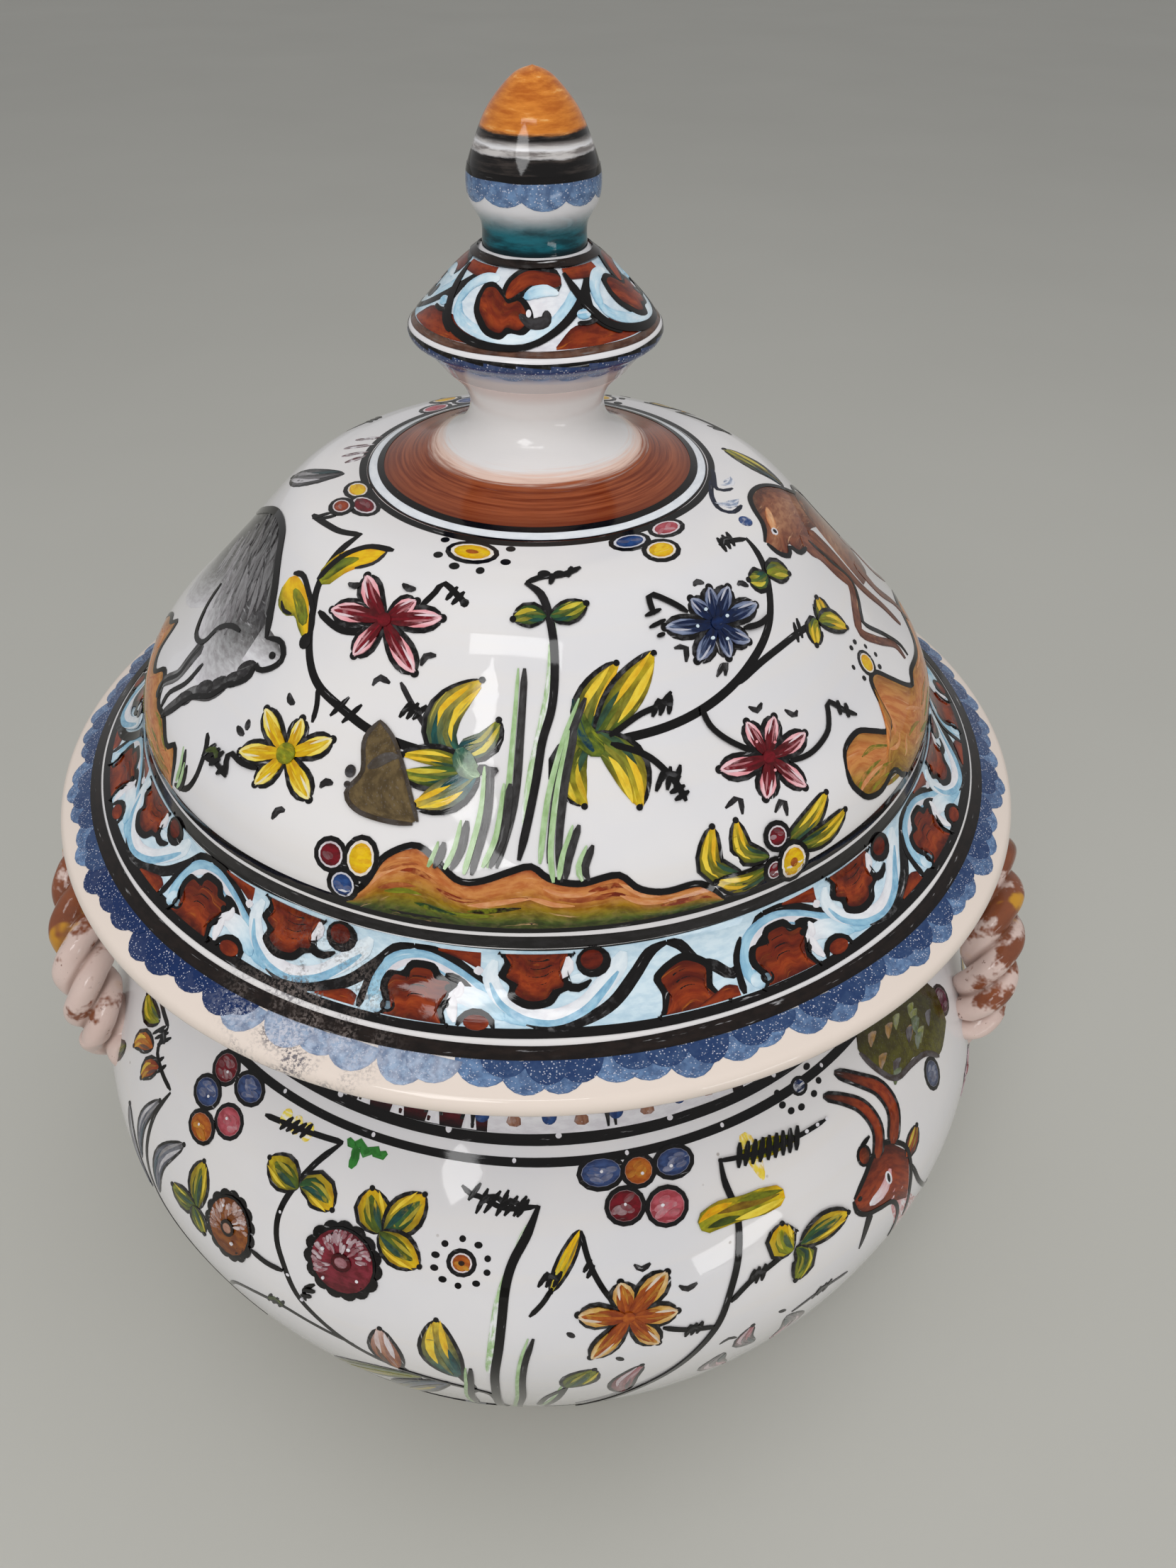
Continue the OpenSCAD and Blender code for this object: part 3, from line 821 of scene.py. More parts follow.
def arch(on, at, span):
    """What lies under one arch of the vine."""
    to = moved(at, span / ARCH_SPAN)
    over = to((-3.4, 22.8), (-3.7, 26.6), (-3.1, 30.6), (-1.3, 33.2), (1.5, 33.9), (4.5, 32), (7, 29.4), (9.4, 26.8),
              (11.4, 24.4), (13.4, 22.6))
    on.brush(over, [3.4, 3.0, 2.8, 2.6, 2.8, 3.2, 3.6, 3.2, 2.0], SKY, blend(SKY, BLUE, 0.12), SKY, full=0.92,
             under=PALE)
    on.brush([(t + 0.5, u - 0.9) for t, u in over[1:8]], [0.8, 1.3, 1.1, 1.4, 0.8], WHITE, full=0.95)
    on.spot(to((-3.0, 23.4))[0], (3.6, 3.4), PALE, SKY, full=0.9)
    on.brush(to((-5.1, 21.8), (-5.0, 25), (-4.7, 29), (-3.5, 32.8)), [1.7, 1.4, 1.4, 1.0], INK, full=0.9)
    club(on, to((-2.2, 21.6), (4.2, 21.6)),
         to((-2.0, 21.9), (-1.3, 24.6), (-2.4, 26.8), (-1.9, 29.4), (-0.4, 29.5), (0.2, 31.4), (2.2, 31.5), (2.9, 29.9),
            (4.5, 29.7), (4.4, 27.6), (3.3, 25.8), (4.2, 21.9)))
    on.spot(to((-1.9, 23.4))[0], (3.0, 2.8), INK)
    on.spot(to((-1.9, 23.4))[0], (1.7, 1.6), blend(SKY, GREY, 0.5))
    on.brush(to((4.0, 31), (5.8, 30.2), (7.4, 28.2)), [1.8, 1.5, 1.0], INK, full=0.98)
    on.brush(to((4.7, 27), (6.8, 27.4), (9.4, 25.6), (11, 23.4)), [2.4, 4.0, 4.0, 1.6], WHITE, PALE, SKY, full=0.9,
             under=PALE)
    on.brush(to((5.3, 27), (5.9, 28.6), (5.8, 30)), [2.2, 1.8, 1.0], WHITE, full=1.0)
    on.brush(to((5.0, 27.4), (5.2, 24.6), (5.7, 22.2)), [2.2, 2.2, 1.4], WHITE, full=1.0)
    on.spot(to((4.5, 28.6))[0], 1.4, INK)
    on.spot(to((4.4, 25.4))[0], 1.6, INK)
    on.brush(to((6.0, 21.6), (6.6, 23.6), (8, 24.6), (9.4, 23.4), (9.9, 21.6)), 1.4, INK, full=0.98)
    on.spot(to((8, 22.5))[0], (5.0, 3.0), RUST, BRICK, full=0.9, under=BRICK)
    on.wash(to((-10.4, 21.8), (-5.6, 21.8)), to((-10.4, 22.2), (-8.4, 23.6), (-6.8, 24.6), (-5.6, 23.8)), BRICK, RUST,
            full=0.85, count=8, rows=2, under=OCHRE)


def trough(on, at, span):
    """What lies above one trough of the vine."""
    to = moved(at, span / ARCH_SPAN)
    under = to((-6.2, 34.8), (-6.7, 31.4), (-5.7, 28), (-4, 25.6), (-2, 24.2), (0.8, 23.9), (3.9, 26), (6, 29.2),
               (8, 32.8), (8.8, 35.6))
    on.brush(under, [2.8, 3.2, 3.2, 3.4, 3.2, 3.2, 3.6, 3.8, 3.4], PALE, WHITE, PALE, full=0.95, under=SKY)
    on.brush([(t, u - 1.1) for t, u in under[1:9]], [0.8, 1.5, 1.2, 1.7, 1.0], SKY, full=0.8, under=PALE)
    on.wash(to((-13, 35.7), (-10.6, 34.6), (-7.9, 32.6)), to((-13, 36.2), (-7.9, 36.2)), RUST, BRICK, full=0.8, count=8,
            rows=2, under=BRICK)
    on.brush(to((-8.2, 33.4), (-8.0, 31.6)), 2.0, WHITE, ends="leaf", full=1.0)
    club(on, to((-5.0, 36.2), (2.2, 36.2)),
         to((-5.0, 35.8), (-4.3, 33.4), (-4.9, 31.6), (-3.6, 30.2), (-3.8, 28.4), (-2.2, 27.0), (-0.4, 27.4), (0.4, 29),
            (1.7, 29.8), (1.2, 32), (2.2, 35.8)))
    on.brush(to((1.4, 31.4), (2.3, 33.4), (2.2, 35.6)), [1.4, 2.2, 1.4], WHITE, full=1.0)
    on.brush(to((1.6, 29.8), (3.4, 29.2), (4.8, 30.6)), [1.6, 1.6, 1.0], INK, full=0.95)
    on.brush(to((2.2, 31), (3.6, 31.2), (4.4, 32.2)), [1.2, 1.8, 1.0], PALE, full=1.0)
    on.spot(to((5.2, 34.2))[0], (5.6, 5.2), INK, grow=0.6)
    on.spot(to((5.0, 34.7))[0], (4.4, 4.2), RUST, full=0.9, under=BRICK)


peaks = [-75, -45, -15, 14, 26.5, 56] + [56 + 28.625 * k for k in range(1, 8)]
vines = Painting("brim_ground", lid_wall, "lid")
vines.ring(29.3, 14.6, blend(PALE, SKY, 0.3), full=0.95, wander=0.1, under=SKY)
vines.dry()
for k, peak in enumerate(peaks):
    after = peaks[k + 1] if k + 1 < len(peaks) else 285
    span = after - peak
    piece = Painting("brim_scroll_%02d" % k, lid_wall, "lid")
    low = 22.2 if span > 20 else 26.5
    vine = [(peak, 35.9), (peak + 0.13 * span, 34.7), (peak + 0.27 * span, 30.3), (peak + 0.40 * span, low + 2.6),
            (peak + 0.53 * span, low), (peak + 0.64 * span, low + 0.6), (peak + 0.76 * span, low + 3.4),
            (peak + 0.86 * span, 30.6), (peak + 0.93 * span, 34.6), (after, 35.9)]
    piece.brush(vine, [2.3, 2.0, 2.4, 2.1, 2.6, 2.3], INK, full=[0.95, 0.8, 0.95])
    if span > 20:
        arch(piece, peak, min(span, 31))
        trough(piece, peak + 0.53 * span, min(span, 33))
    else:
        club(piece, [(peak - 1.6, 21.8), (peak + 5, 21.8)],
             [(peak - 1.4, 22), (peak - 0.6, 26), (peak - 1.2, 29), (peak + 1.6, 31.4), (peak + 4, 29),
              (peak + 3.4, 26),
              (peak + 5, 22)])
    piece.dry()
print(len(peaks), "arches round the brim")

# %% [markdown]
# ## Lines on the finial
# The foot of the knob has a black, a white and another black line. The disc repeats the brim's scrolls in small,
# over a ring of blue scallops that fade downwards, and the bud has a garland of overlapping scallops.

# %% Lines on the finial
crown = Painting("crown_line", lid_wall, "lid")
crown.ring(121.1, 1.6, INK, full=0.98)
crown.dry()
foot_lines = Painting("collar_lines", stem_wall, "lid")
foot_lines.ring(0.5, 0.7, INK, full=0.95, wander=0.1)
foot_lines.ring(1.5, 1.9, blend(PALE, WHITE, 0.6), full=1.0, wander=0.1)
foot_lines.ring(3.25, 1.6, INK, full=0.99)
foot_lines.dry()

disc_scroll = Painting("disc_scrolls", disc_wall, "lid")
disc_scroll.ring(22.0, 17.2, WHITE, blend(SKY, PALE, 0.5), WHITE, blend(SKY, PALE, 0.5), WHITE, full=0.92, wander=0.1,
                 under=SKY)
disc_scroll.ring(12.8, 1.5, blend(SMOKE, OCHRE, 0.2), full=0.8, under=GREY)
disc_scroll.ring(10.4, 1.1, INK, full=0.8, under=GREY)
scroll_starts = (-105, -15, 75, 165)
for start in scroll_starts:
    to = moved(start)
    disc_scroll.wash(to((24, 13.6), (78, 13.6)), to((24, 14.2), (34, 17.8), (48, 18.2), (60, 18), (78, 14.6)), BRICK,
                     RUST,
                     full=0.85, count=14, rows=3, under=OCHRE)
    disc_scroll.wash(to((-52, 27.4), (-18, 26.6)), to((-52, 29.8), (-18, 29.8)), RUST, BRICK, full=0.85, count=12,
                     rows=2,
                     under=OCHRE)
    disc_scroll.brush(to((-36, 22), (-30, 18.6), (-16, 16.4), (2, 15.6), (20, 17.6), (34, 21.4), (44, 25.6)),
                      [1.8, 2.4, 2.2, 2.4, 2.4, 3.0, 2.2], SKY, PALE, SKY, full=0.75, under=WHITE)
    disc_scroll.brush(to((-12, 27.4), (-24, 27.0), (-33, 24.6), (-35, 21)), [1.8, 2.4, 2.2, 1.6], PALE, SKY, full=0.8)
    club(disc_scroll, to((-20, 22.6), (-18, 20.6), (-14, 19), (-9, 17.2), (-3, 16.6), (0, 17.8), (6, 17.4), (10, 18.8)),
         to((-20, 23.4), (-19, 25), (-13, 25.4), (-6, 23.8), (-1.5, 22.6), (4.5, 23.2), (9, 21.4), (10.4, 19.4)), 1.3)
    comma = to((-3, 23.6), (2, 26.2), (10, 28), (20, 27.8), (34, 27.2))
    disc_scroll.brush(comma, [1.4, 3.2, 3.4, 3.6, 3.0], INK, grow=1.0)
    disc_scroll.brush(comma, [1.4, 3.0, 3.2, 3.4, 2.8], BRICK, RUST, full=0.88, under=OCHRE)
    disc_scroll.brush(to((8, 23.8), (14, 25), (22, 25.4), (30, 24.6)), [1.2, 2.6, 2.4, 1.0], SKY, PALE, full=0.75,
                      under=WHITE)
    disc_scroll.brush(to((6, 20.6), (13, 18.8), (20, 19.4), (21, 21.4)), [1.0, 2.2, 2.6, 1.2], SMOKE, full=0.9)
    disc_scroll.spot(to((11, 20.8))[0], (1.0, 1.6), WHITE)
    disc_scroll.brush(to((-52, 28.8), (-47, 24), (-42, 20.4), (-34, 16.8), (-20, 14.6), (-6, 13.8), (10, 14.2),
                         (24, 17),
                         (40, 21.6), (54, 26), (66, 29.4)), [1.5, 1.9, 1.6, 1.7, 1.4, 1.3, 1.6, 1.9, 1.9], INK,
                      full=0.97)
    disc_scroll.brush(to((50, 24.8), (47, 21), (51, 17.8), (60, 15)), [1.4, 1.9, 1.9, 1.2], INK, full=0.97)
    disc_scroll.brush(to((37, 18.4), (43, 18.2), (49, 18.6)), 0.9, INK)
    disc_scroll.spot(to((42, 20))[0], (3.0, 2.0), SKY, full=0.7)
disc_scroll.ring(30.9, 1.8, blend(INK, SEPIA, 0.4), full=0.92)
disc_scroll.dry()

under_disc = Painting("disc_strokes", disc_wall, "lid", blue_wash)
under_count, garland_count = 24, 10
for first in (0, 1):
    for k in range(first, under_count, 2):
        turn = 360 / under_count * k + 2 * dice.random()
        under_disc.brush([(turn, 4.2 + 0.9 * dice.random()), (turn + 1, 10.1)], 9.6, blend(LAVENDER, BLUE, 0.3), BLUE,
                         NAVY,
                         ends="fan", full=0.93)
under_disc.dry()

garland = Painting("bud_garland", bud_wall, "lid", blue_wash)
for first in (0, 1):
    for k in range(first, garland_count, 2):
        turn = -180 + 360 / garland_count * k + 6
        garland.brush([(turn, 9.0 + 0.9 * dice.random()), (turn + 2, 14.6)], 11.8, LAVENDER, LAVENDER,
                      blend(LAVENDER, NAVY, 0.55), ends="fan", full=0.95)
garland.dry()
trim = Painting("bud_line", bud_wall, "lid")
trim.ring(14.7, 1.3, INK, full=0.97, wander=0.1)
trim.dry()
print("the finial has", len(scroll_starts), "scrolls,", under_count, "strokes under the disc and", garland_count,
      "scallops on the bud")

# %% [markdown]
# ## Rope handles
# Each handle is three strands of clay twisted like a rope, bent into an arch and pressed onto the shoulder. A flat
# grid is rolled round the arch's middle line; the distance to the nearest strand's heart gives the lobes. Where
# the roots run into the clay they stop a little under the glaze, so that nothing shows inside the bowl.

# %% Rope handles
ARCH_X, ARCH_LEAN, ARCH_HALF_WIDTH = 119, 6, 40.5
ARCH_Z, ARCH_RISE = 108.5, 29.5
LEG_BEND, LEG_DROP, LEG_LIFT, LEG_REACH = 120, 46, 30, 1.34
STRANDS, STRAND_OFFSET, STRAND_R, STRAND_TURNS = 3, 3.8, 4.4, 3.2
ROPE_R, GROOVE_DEPTH, ROOT_DEPTH = 8.2, 3.4, 3


def rope_middle(s):
    """Middle of the rope: an arch for s from -1 to 1, and beyond that its legs, which run into the belly."""
    turn, over = math.radians(90 * max(-1.0, min(1.0, s))), max(0.0, abs(s) - 1)
    return Vector((ARCH_X + ARCH_LEAN * math.cos(turn) - LEG_BEND * over ** 2, ARCH_HALF_WIDTH * math.sin(turn),
                   ARCH_Z + ARCH_RISE * math.cos(turn) - LEG_DROP * over + LEG_LIFT * over ** 2))


def rope_skin(angle):
    """Distance from the rope's middle to its skin, at an angle from the nearest strand."""
    half = math.pi / STRANDS
    gap = half - abs(math.fmod(angle, math.tau / STRANDS) - half)
    return STRAND_OFFSET * math.cos(gap) + math.sqrt(max(0.0, STRAND_R ** 2 - (STRAND_OFFSET * math.sin(gap)) ** 2))


def under_glaze(spot):
    """Keeps a point of a root within 3 mm of the bowl's outside."""
    flat = Vector((math.hypot(spot.x, spot.y), spot.z))
    near = min(bowl_out, key=lambda p: (p - flat).length)
    if flat.x < near.x and (near - flat).length > ROOT_DEPTH:
        flat = near + (flat - near).normalized() * ROOT_DEPTH
        round_by = flat.x / math.hypot(spot.x, spot.y)
        return Vector((spot.x * round_by, spot.y * round_by, flat.y))
    return spot


def rope(name, node, side):
    """One handle. A side of -1 turns it half round the pot."""
    bm = bmesh.new()
    groove = bm.verts.layers.float.new("groove")
    course = bm.verts.layers.float.new("course")
    rows, columns = 72, 330
    bmesh.ops.create_grid(bm, x_segments=columns, y_segments=rows, size=1.0)
    for vert in bm.verts:
        s, spin = vert.co.x * LEG_REACH, (vert.co.y + 1) * math.pi
        middle = rope_middle(s)
        along = (rope_middle(s + 0.01) - rope_middle(s - 0.01)).normalized()
        out = (Vector((1, 0, 0)) - along * along.x).normalized()
        across = along.cross(out)
        twist = math.radians(180 * STRAND_TURNS * (s + 2))
        deep = rope_skin((spin - twist) % math.tau)
        press = noise.noise(Vector((math.cos(spin), math.sin(spin), s * 9)) * 1.6) * 0.22
        spot = middle + (out * math.cos(spin) + across * math.sin(spin)) * (deep + press)
        vert.co = under_glaze(spot) * MM
        vert[groove] = (ROPE_R - deep) / GROOVE_DEPTH
        vert[course] = s
    if side < 0:
        bmesh.ops.rotate(bm, verts=bm.verts, cent=(0, 0, 0), matrix=Matrix.Rotation(math.pi, 3, "Z"))
    bmesh.ops.remove_doubles(bm, verts=bm.verts, dist=2e-6)
    bmesh.ops.holes_fill(bm, edges=[e for e in bm.edges if e.is_boundary])
    bmesh.ops.recalc_face_normals(bm, faces=bm.faces)
    return shelve(name, bm, rope_glaze, "pot", (node,))


rope_glaze = Finish("mottled rope glaze", 0.09)
place = rope_glaze.where()[0]
groove = rope_glaze.node("Attribute", out=2, attribute_name="groove")
course = rope_glaze.node("Attribute", out=2, attribute_name="course")
base = rope_glaze.mix(rope_glaze.noise(place, 60, 4), tone(226, 208, 200), tone(206, 176, 166))
patches = rope_glaze.noise(place, 75, 4, 0.65)
top = rope_glaze.fade(rope_glaze.sum("ABSOLUTE", course), 0.25, 0.95, 1, 0)
rust_seen = rope_glaze.sum("ADD", patches, rope_glaze.sum("MULTIPLY", top, 0.16))
rusty = rope_glaze.sum("MULTIPLY", rope_glaze.fade(rust_seen, 0.56, 0.64), 0.95)
yellow = rope_glaze.fade(rope_glaze.noise(rope_glaze.stretch(place, (1, 1.4, 0.8)), 55, 3), 0.56, 0.62)
warm = rope_glaze.mix(rope_glaze.noise(place, 180, 4), tone(150, 78, 34), tone(96, 42, 16))
mottled = rope_glaze.mix(rope_glaze.sum("MULTIPLY", yellow, top), rope_glaze.mix(rusty, base, warm), tone(214, 158, 44))
flecks = rope_glaze.fade(rope_glaze.noise(place, 420, 3, 0.7), 0.66, 0.72, 0, 0.7)
spotted = rope_glaze.mix(flecks, mottled, tone(96, 46, 22))
# Painted shade: the deeper a point lies in a groove between strands, the more its colour is darkened towards brown, up
# to 0.6 of the way.
rope_glaze.colour(rope_glaze.mix(rope_glaze.fade(groove, 0.5, 1.0, 0, 0.6), spotted, tone(120, 78, 58)))
rope_glaze.bump(rope_glaze.noise(place, 260, 4), 0.0003, 0.4)
rope("right_rope", "right_handle", 1)
rope("left_rope", "left_handle", -1)
print("strands of the rope stand", GROOVE_DEPTH, "mm above its grooves")

# %% [markdown]
# ## Small marks
# Between the big figures the painter scatters quick ones: a bar across a stem, a scribbled knot, a tick that is
# one flick of the wrist, a row of barbs, a blade of grass. A tangle of them keeps the white from looking empty.

# %% Small marks
def bars(on, *places, lean=62, long=4.4, width=1.1, tint=INK):
    """Short strokes across a stem."""
    for turn, up in places:
        tilt = math.radians(lean + 14 * (dice.random() - 0.5))
        wide = math.degrees(math.cos(tilt) * long / 2 / on.wall.at(up)[0])
        tall = math.sin(tilt) * long / 2
        on.brush([(turn - wide, up - tall), (turn + wide, up + tall)], width, tint, full=0.95)


def knot(on, at, size=3.0, tint=INK):
    """A scribble where a stem branches."""
    step = math.degrees(size / 2 / on.wall.at(at[1])[0])
    bars(on, (at[0] - step, at[1]), (at[0], at[1]), (at[0] + step, at[1]), long=size * 1.3)
    on.brush([(at[0] - 1.3 * step, at[1] - size * 0.2), (at[0], at[1] + size * 0.3),
              (at[0] + 1.3 * step, at[1] - size * 0.1)], 1.2, tint)


def ticks(on, *paths, width=1.4, tint=blend(INK, SMOKE, 0.6)):
    for path in paths:
        on.brush(list(path), [width * 0.7, width, width * 0.8], tint, full=0.85)


def grass(on, *paths, width=1.3, shade=0.5):
    """Blades with a pale green brush mark beside each dark one."""
    for path in paths:
        aside = math.degrees(1.2 / on.wall.at(path[0][1])[0])
        on.brush([(t - aside, u) for t, u in path], [0.6, 1.1, 1.1], MINT, full=0.85)
        on.brush(list(path), [width * 0.8, width, width * 0.7], blend(INK, GREY, shade * 0.7), full=0.84, under=GREY)


TAN, PEACH = tone(202, 134, 72), tone(226, 178, 132)


def hill(on, foot, top, low=None, green=True):
    """A hummock: earth brushed from olive at its foot to orange at its crest, with an inked crest."""
    base = low or [(top[0][0], foot), (top[-1][0], foot)]
    earth = (blend(MOSS, INK, 0.3), MOSS, blend(OLIVE, BRICK, 0.35), blend(OCHRE, OLIVE, 0.3)) if green else \
        (blend(OCHRE, OLIVE, 0.6), blend(TAN, OLIVE, 0.3))
    warm = BRICK if green else OLIVE
    on.wash(base, top, *earth, TAN, TAN, blend(TAN, warm, 0.4), full=0.84,
            count=round(abs(top[-1][0] - top[0][0]) * 1.1) + 6, rows=7, under=PEACH)
    crest = curve(top, 6)
    for k in range(len(crest) // 5):
        first, share = int(dice.random() * max(1, len(crest) - 16)), 0.08 + 0.8 * dice.random()
        low_tints, high_tints = (MOSS, SEPIA, OLIVE, GREEN), (warm, PEACH, blend(TAN, warm, 0.5), PEACH)
        tint = (low_tints if green and share < 0.42 else high_tints)[k % 4]
        on.brush([(p.x, foot + (p.y - foot) * share) for p in crest[first:first + 14:4]], [0.4, 1.1, 0.9, 0.3], tint,
                 full=0.6,
                 under=TAN if share > 0.42 else OLIVE)
    line(on, top, width=1.3)


print("a knot is 4 strokes and a blade of grass 2")

# %% [markdown]
# ## The dome's two sprays
# Two long stems spring from bunches of leaves at the foot of the dome and sweep up to each side. Flowers of six
# petals hang on them. Each spray is one piece, so that the marks of one sitting stay together.

# %% The dome's two sprays
def dome(name, turned=0, finish=None):
    return Painting("dome_" + name, lid_wall, "lid", finish, turned=turned)


def left_spray(tag, turned, star=(CRIMSON, BLUSH), second=(blend(YELLOW, OLIVE, 0.15), LEMON)):
    on = dome("left_spray_" + tag, turned)
    line(on, [(-49.6, 112.4), (-49.5, 105), (-48.5, 98), (-46.5, 93.5), (-44, 88), (-41, 83.5), (-37.5, 80.5),
              (-32, 78.3), (-26, 76), (-20, 74.8), (-13.8, 74.2)], width=1.8)
    line(on, [(-49.5, 112), (-55, 110), (-60, 109.2), (-68, 108)], width=1.5)
    bars(on, (-63.5, 110), (-65.5, 109.5))
    bars(on, (-32.5, 78.5), (-30, 78), long=5.4)
    on.brush([(-48.6, 99), (-46.4, 104.6), (-43, 107.8), (-38.6, 110.4)], [4.2, 5.4, 5.8, 5.0, 2.6], OLIVE, YELLOW,
             YELLOW,
             full=0.9, under=YELLOW)
    on.brush([(-48.8, 99.6), (-46.6, 104), (-43.4, 107)], [2.4, 3.0, 1.2], OLIVE, MOSS, OLIVE, full=0.85, under=YELLOW)
    line(on, [(-49.6, 99), (-48.4, 104), (-46.6, 107.8), (-43.4, 110.8), (-37.4, 112)], width=1.5)
    line(on, [(-38.6, 111), (-39, 107.6), (-42.5, 104.8)], width=0.8, tint=SMOKE)
    on.wash([(-57.6, 93), (-56, 90), (-52.4, 89.2), (-50, 90.2), (-47.6, 88.6), (-45.4, 87.4)],
            [(-57.4, 95.6), (-55.8, 97), (-52.6, 96.6), (-49.4, 95), (-47, 92.4), (-45, 89)], OLIVE, YELLOW, YELLOW,
            full=0.92, count=14, rows=4, under=YELLOW)
    on.brush([(-54, 94.6), (-50.4, 93), (-46.6, 90)], [1.6, 3.0, 2.4], OLIVE, blend(OLIVE, MOSS, 0.5), full=0.8,
             under=YELLOW)
    line(on, [(-57, 97), (-54, 98), (-50, 96), (-46.6, 93.4), (-44.6, 90), (-44.6, 87)], width=1.3)
    line(on, [(-55.5, 91), (-53.5, 89.8), (-51, 90.2)], width=0.9)
    on.spot((-44.6, 87.2), (3.0, 3.4), INK)
    line(on, [(-24, 101.5), (-22, 105), (-21, 107.5), (-18, 106), (-14.5, 103.5)], width=1.3)
    bars(on, (-18.4, 105.6), (-16.8, 104.8), long=3.6)
    on.brush([(-16, 104.2), (-14.4, 103.7)], 1.7, INK)
    line(on, [(-32, 94.5), (-38, 92.5), (-45, 93.8)], width=1.5)
    flower(on, (-30, 97.3), [(-38.5, 104.5), (-25, 102.5), (-18.8, 100.2), (-21.5, 88.8), (-33.5, 88.8),
                             (-42, 95.3)], 5.2, *star)
    ticks(on, [(-29.5, 105.2), (-27.8, 104.6), (-26.2, 104.9)], [(-41.5, 101.5), (-40, 101.4), (-38.5, 102.4)],
          [(-20.7, 90.4), (-20.2, 92.4), (-18.4, 92.9)], [(-28.2, 84.4), (-27.5, 86.3), (-25.3, 85.8)])
    line(on, [(-37.8, 80.5), (-36.5, 77), (-36, 73.5)], width=1.2)
    flower(on, (-37.8, 65.8), [(-37.9, 73.4), (-31.5, 72), (-31.5, 59.5), (-40.3, 57.5), (-45.5, 61.3),
                               (-45, 71.5)], 5.0, *second)
    on.spot((-37.8, 65.8), (4.6, 4.4), OLIVE, full=0.75, under=YELLOW)
    ticks(on, [(-42.5, 76.6), (-41.6, 75.4), (-40.5, 75.3)], [(-47.2, 67.6), (-46.5, 65.5)],
          [(-48.6, 65), (-47.4, 64.5), (-46.5, 64.4)], [(-30.6, 62.4), (-30.2, 63.8), (-29, 64)],
          [(-35.6, 53), (-35.2, 55.2), (-34.2, 55.6)], width=1.6)
    line(on, [(-41, 60.4), (-44, 59.6), (-46.6, 60), (-46.8, 58.4), (-45.4, 55.8)], width=1.2)
    line(on, [(-55.2, 45), (-52, 47), (-50.7, 51), (-51, 55), (-52, 58), (-53.2, 59.6)], width=1.4)
    line(on, [(-50.7, 55.6), (-48, 56.4), (-45.3, 55.4)], width=1.1)
    knot(on, (-49.6, 57.4), 3.2, MOSS)
    bars(on, (-48.4, 56.4), (-46.6, 56), long=3.0)
    grass(on, [(-55.2, 53.6), (-54, 50), (-54.2, 46)], [(-53.4, 51.4), (-53, 48), (-53.6, 45)], shade=0.1)
    line(on, [(-23.5, 86.5), (-20, 82), (-16, 77), (-13.8, 74.7)], width=1.1, tint=SMOKE)
    knot(on, (-20.3, 81.6), 3.0)
    leaf(on, [(-11.4, 72), (-11.6, 75.4), (-8.4, 77.6), (-6.6, 82)], 4.6, blend(GREEN, BLUE, 0.3), OLIVE, edge=-1)
    leaf(on, [(-10.8, 72.5), (-14.6, 77), (-14.6, 83), (-9.8, 89.4)], 6.4, blend(TEAL, GREEN, 0.5), YELLOW, edge=1)
    leaf(on, [(-9.8, 72.6), (-15, 73.6), (-20.2, 73)], 3.2, MOSS, YELLOW, edge=-1)
    leaf(on, [(-9.8, 71.8), (-15, 70), (-20, 69.6)], 4.0, GREEN, OLIVE, edge=1)
    leaf(on, [(-9, 71.6), (-12.6, 67.4), (-17, 64)], 5.6, TEAL, YELLOW, edge=1)
    on.brush([(-12, 76), (-10.6, 72.5), (-8.6, 71.4)], [3.0, 4.6, 2.4], blend(TEAL, GREEN, 0.5),
             blend(GREEN, MINT, 0.4),
             full=0.75, under=MINT)
    on.brush([(-9, 72.8), (-7.4, 72), (-6.2, 72.6)], [2.2, 2.0, 1.6], SMOKE, full=0.9)
    on.dry()


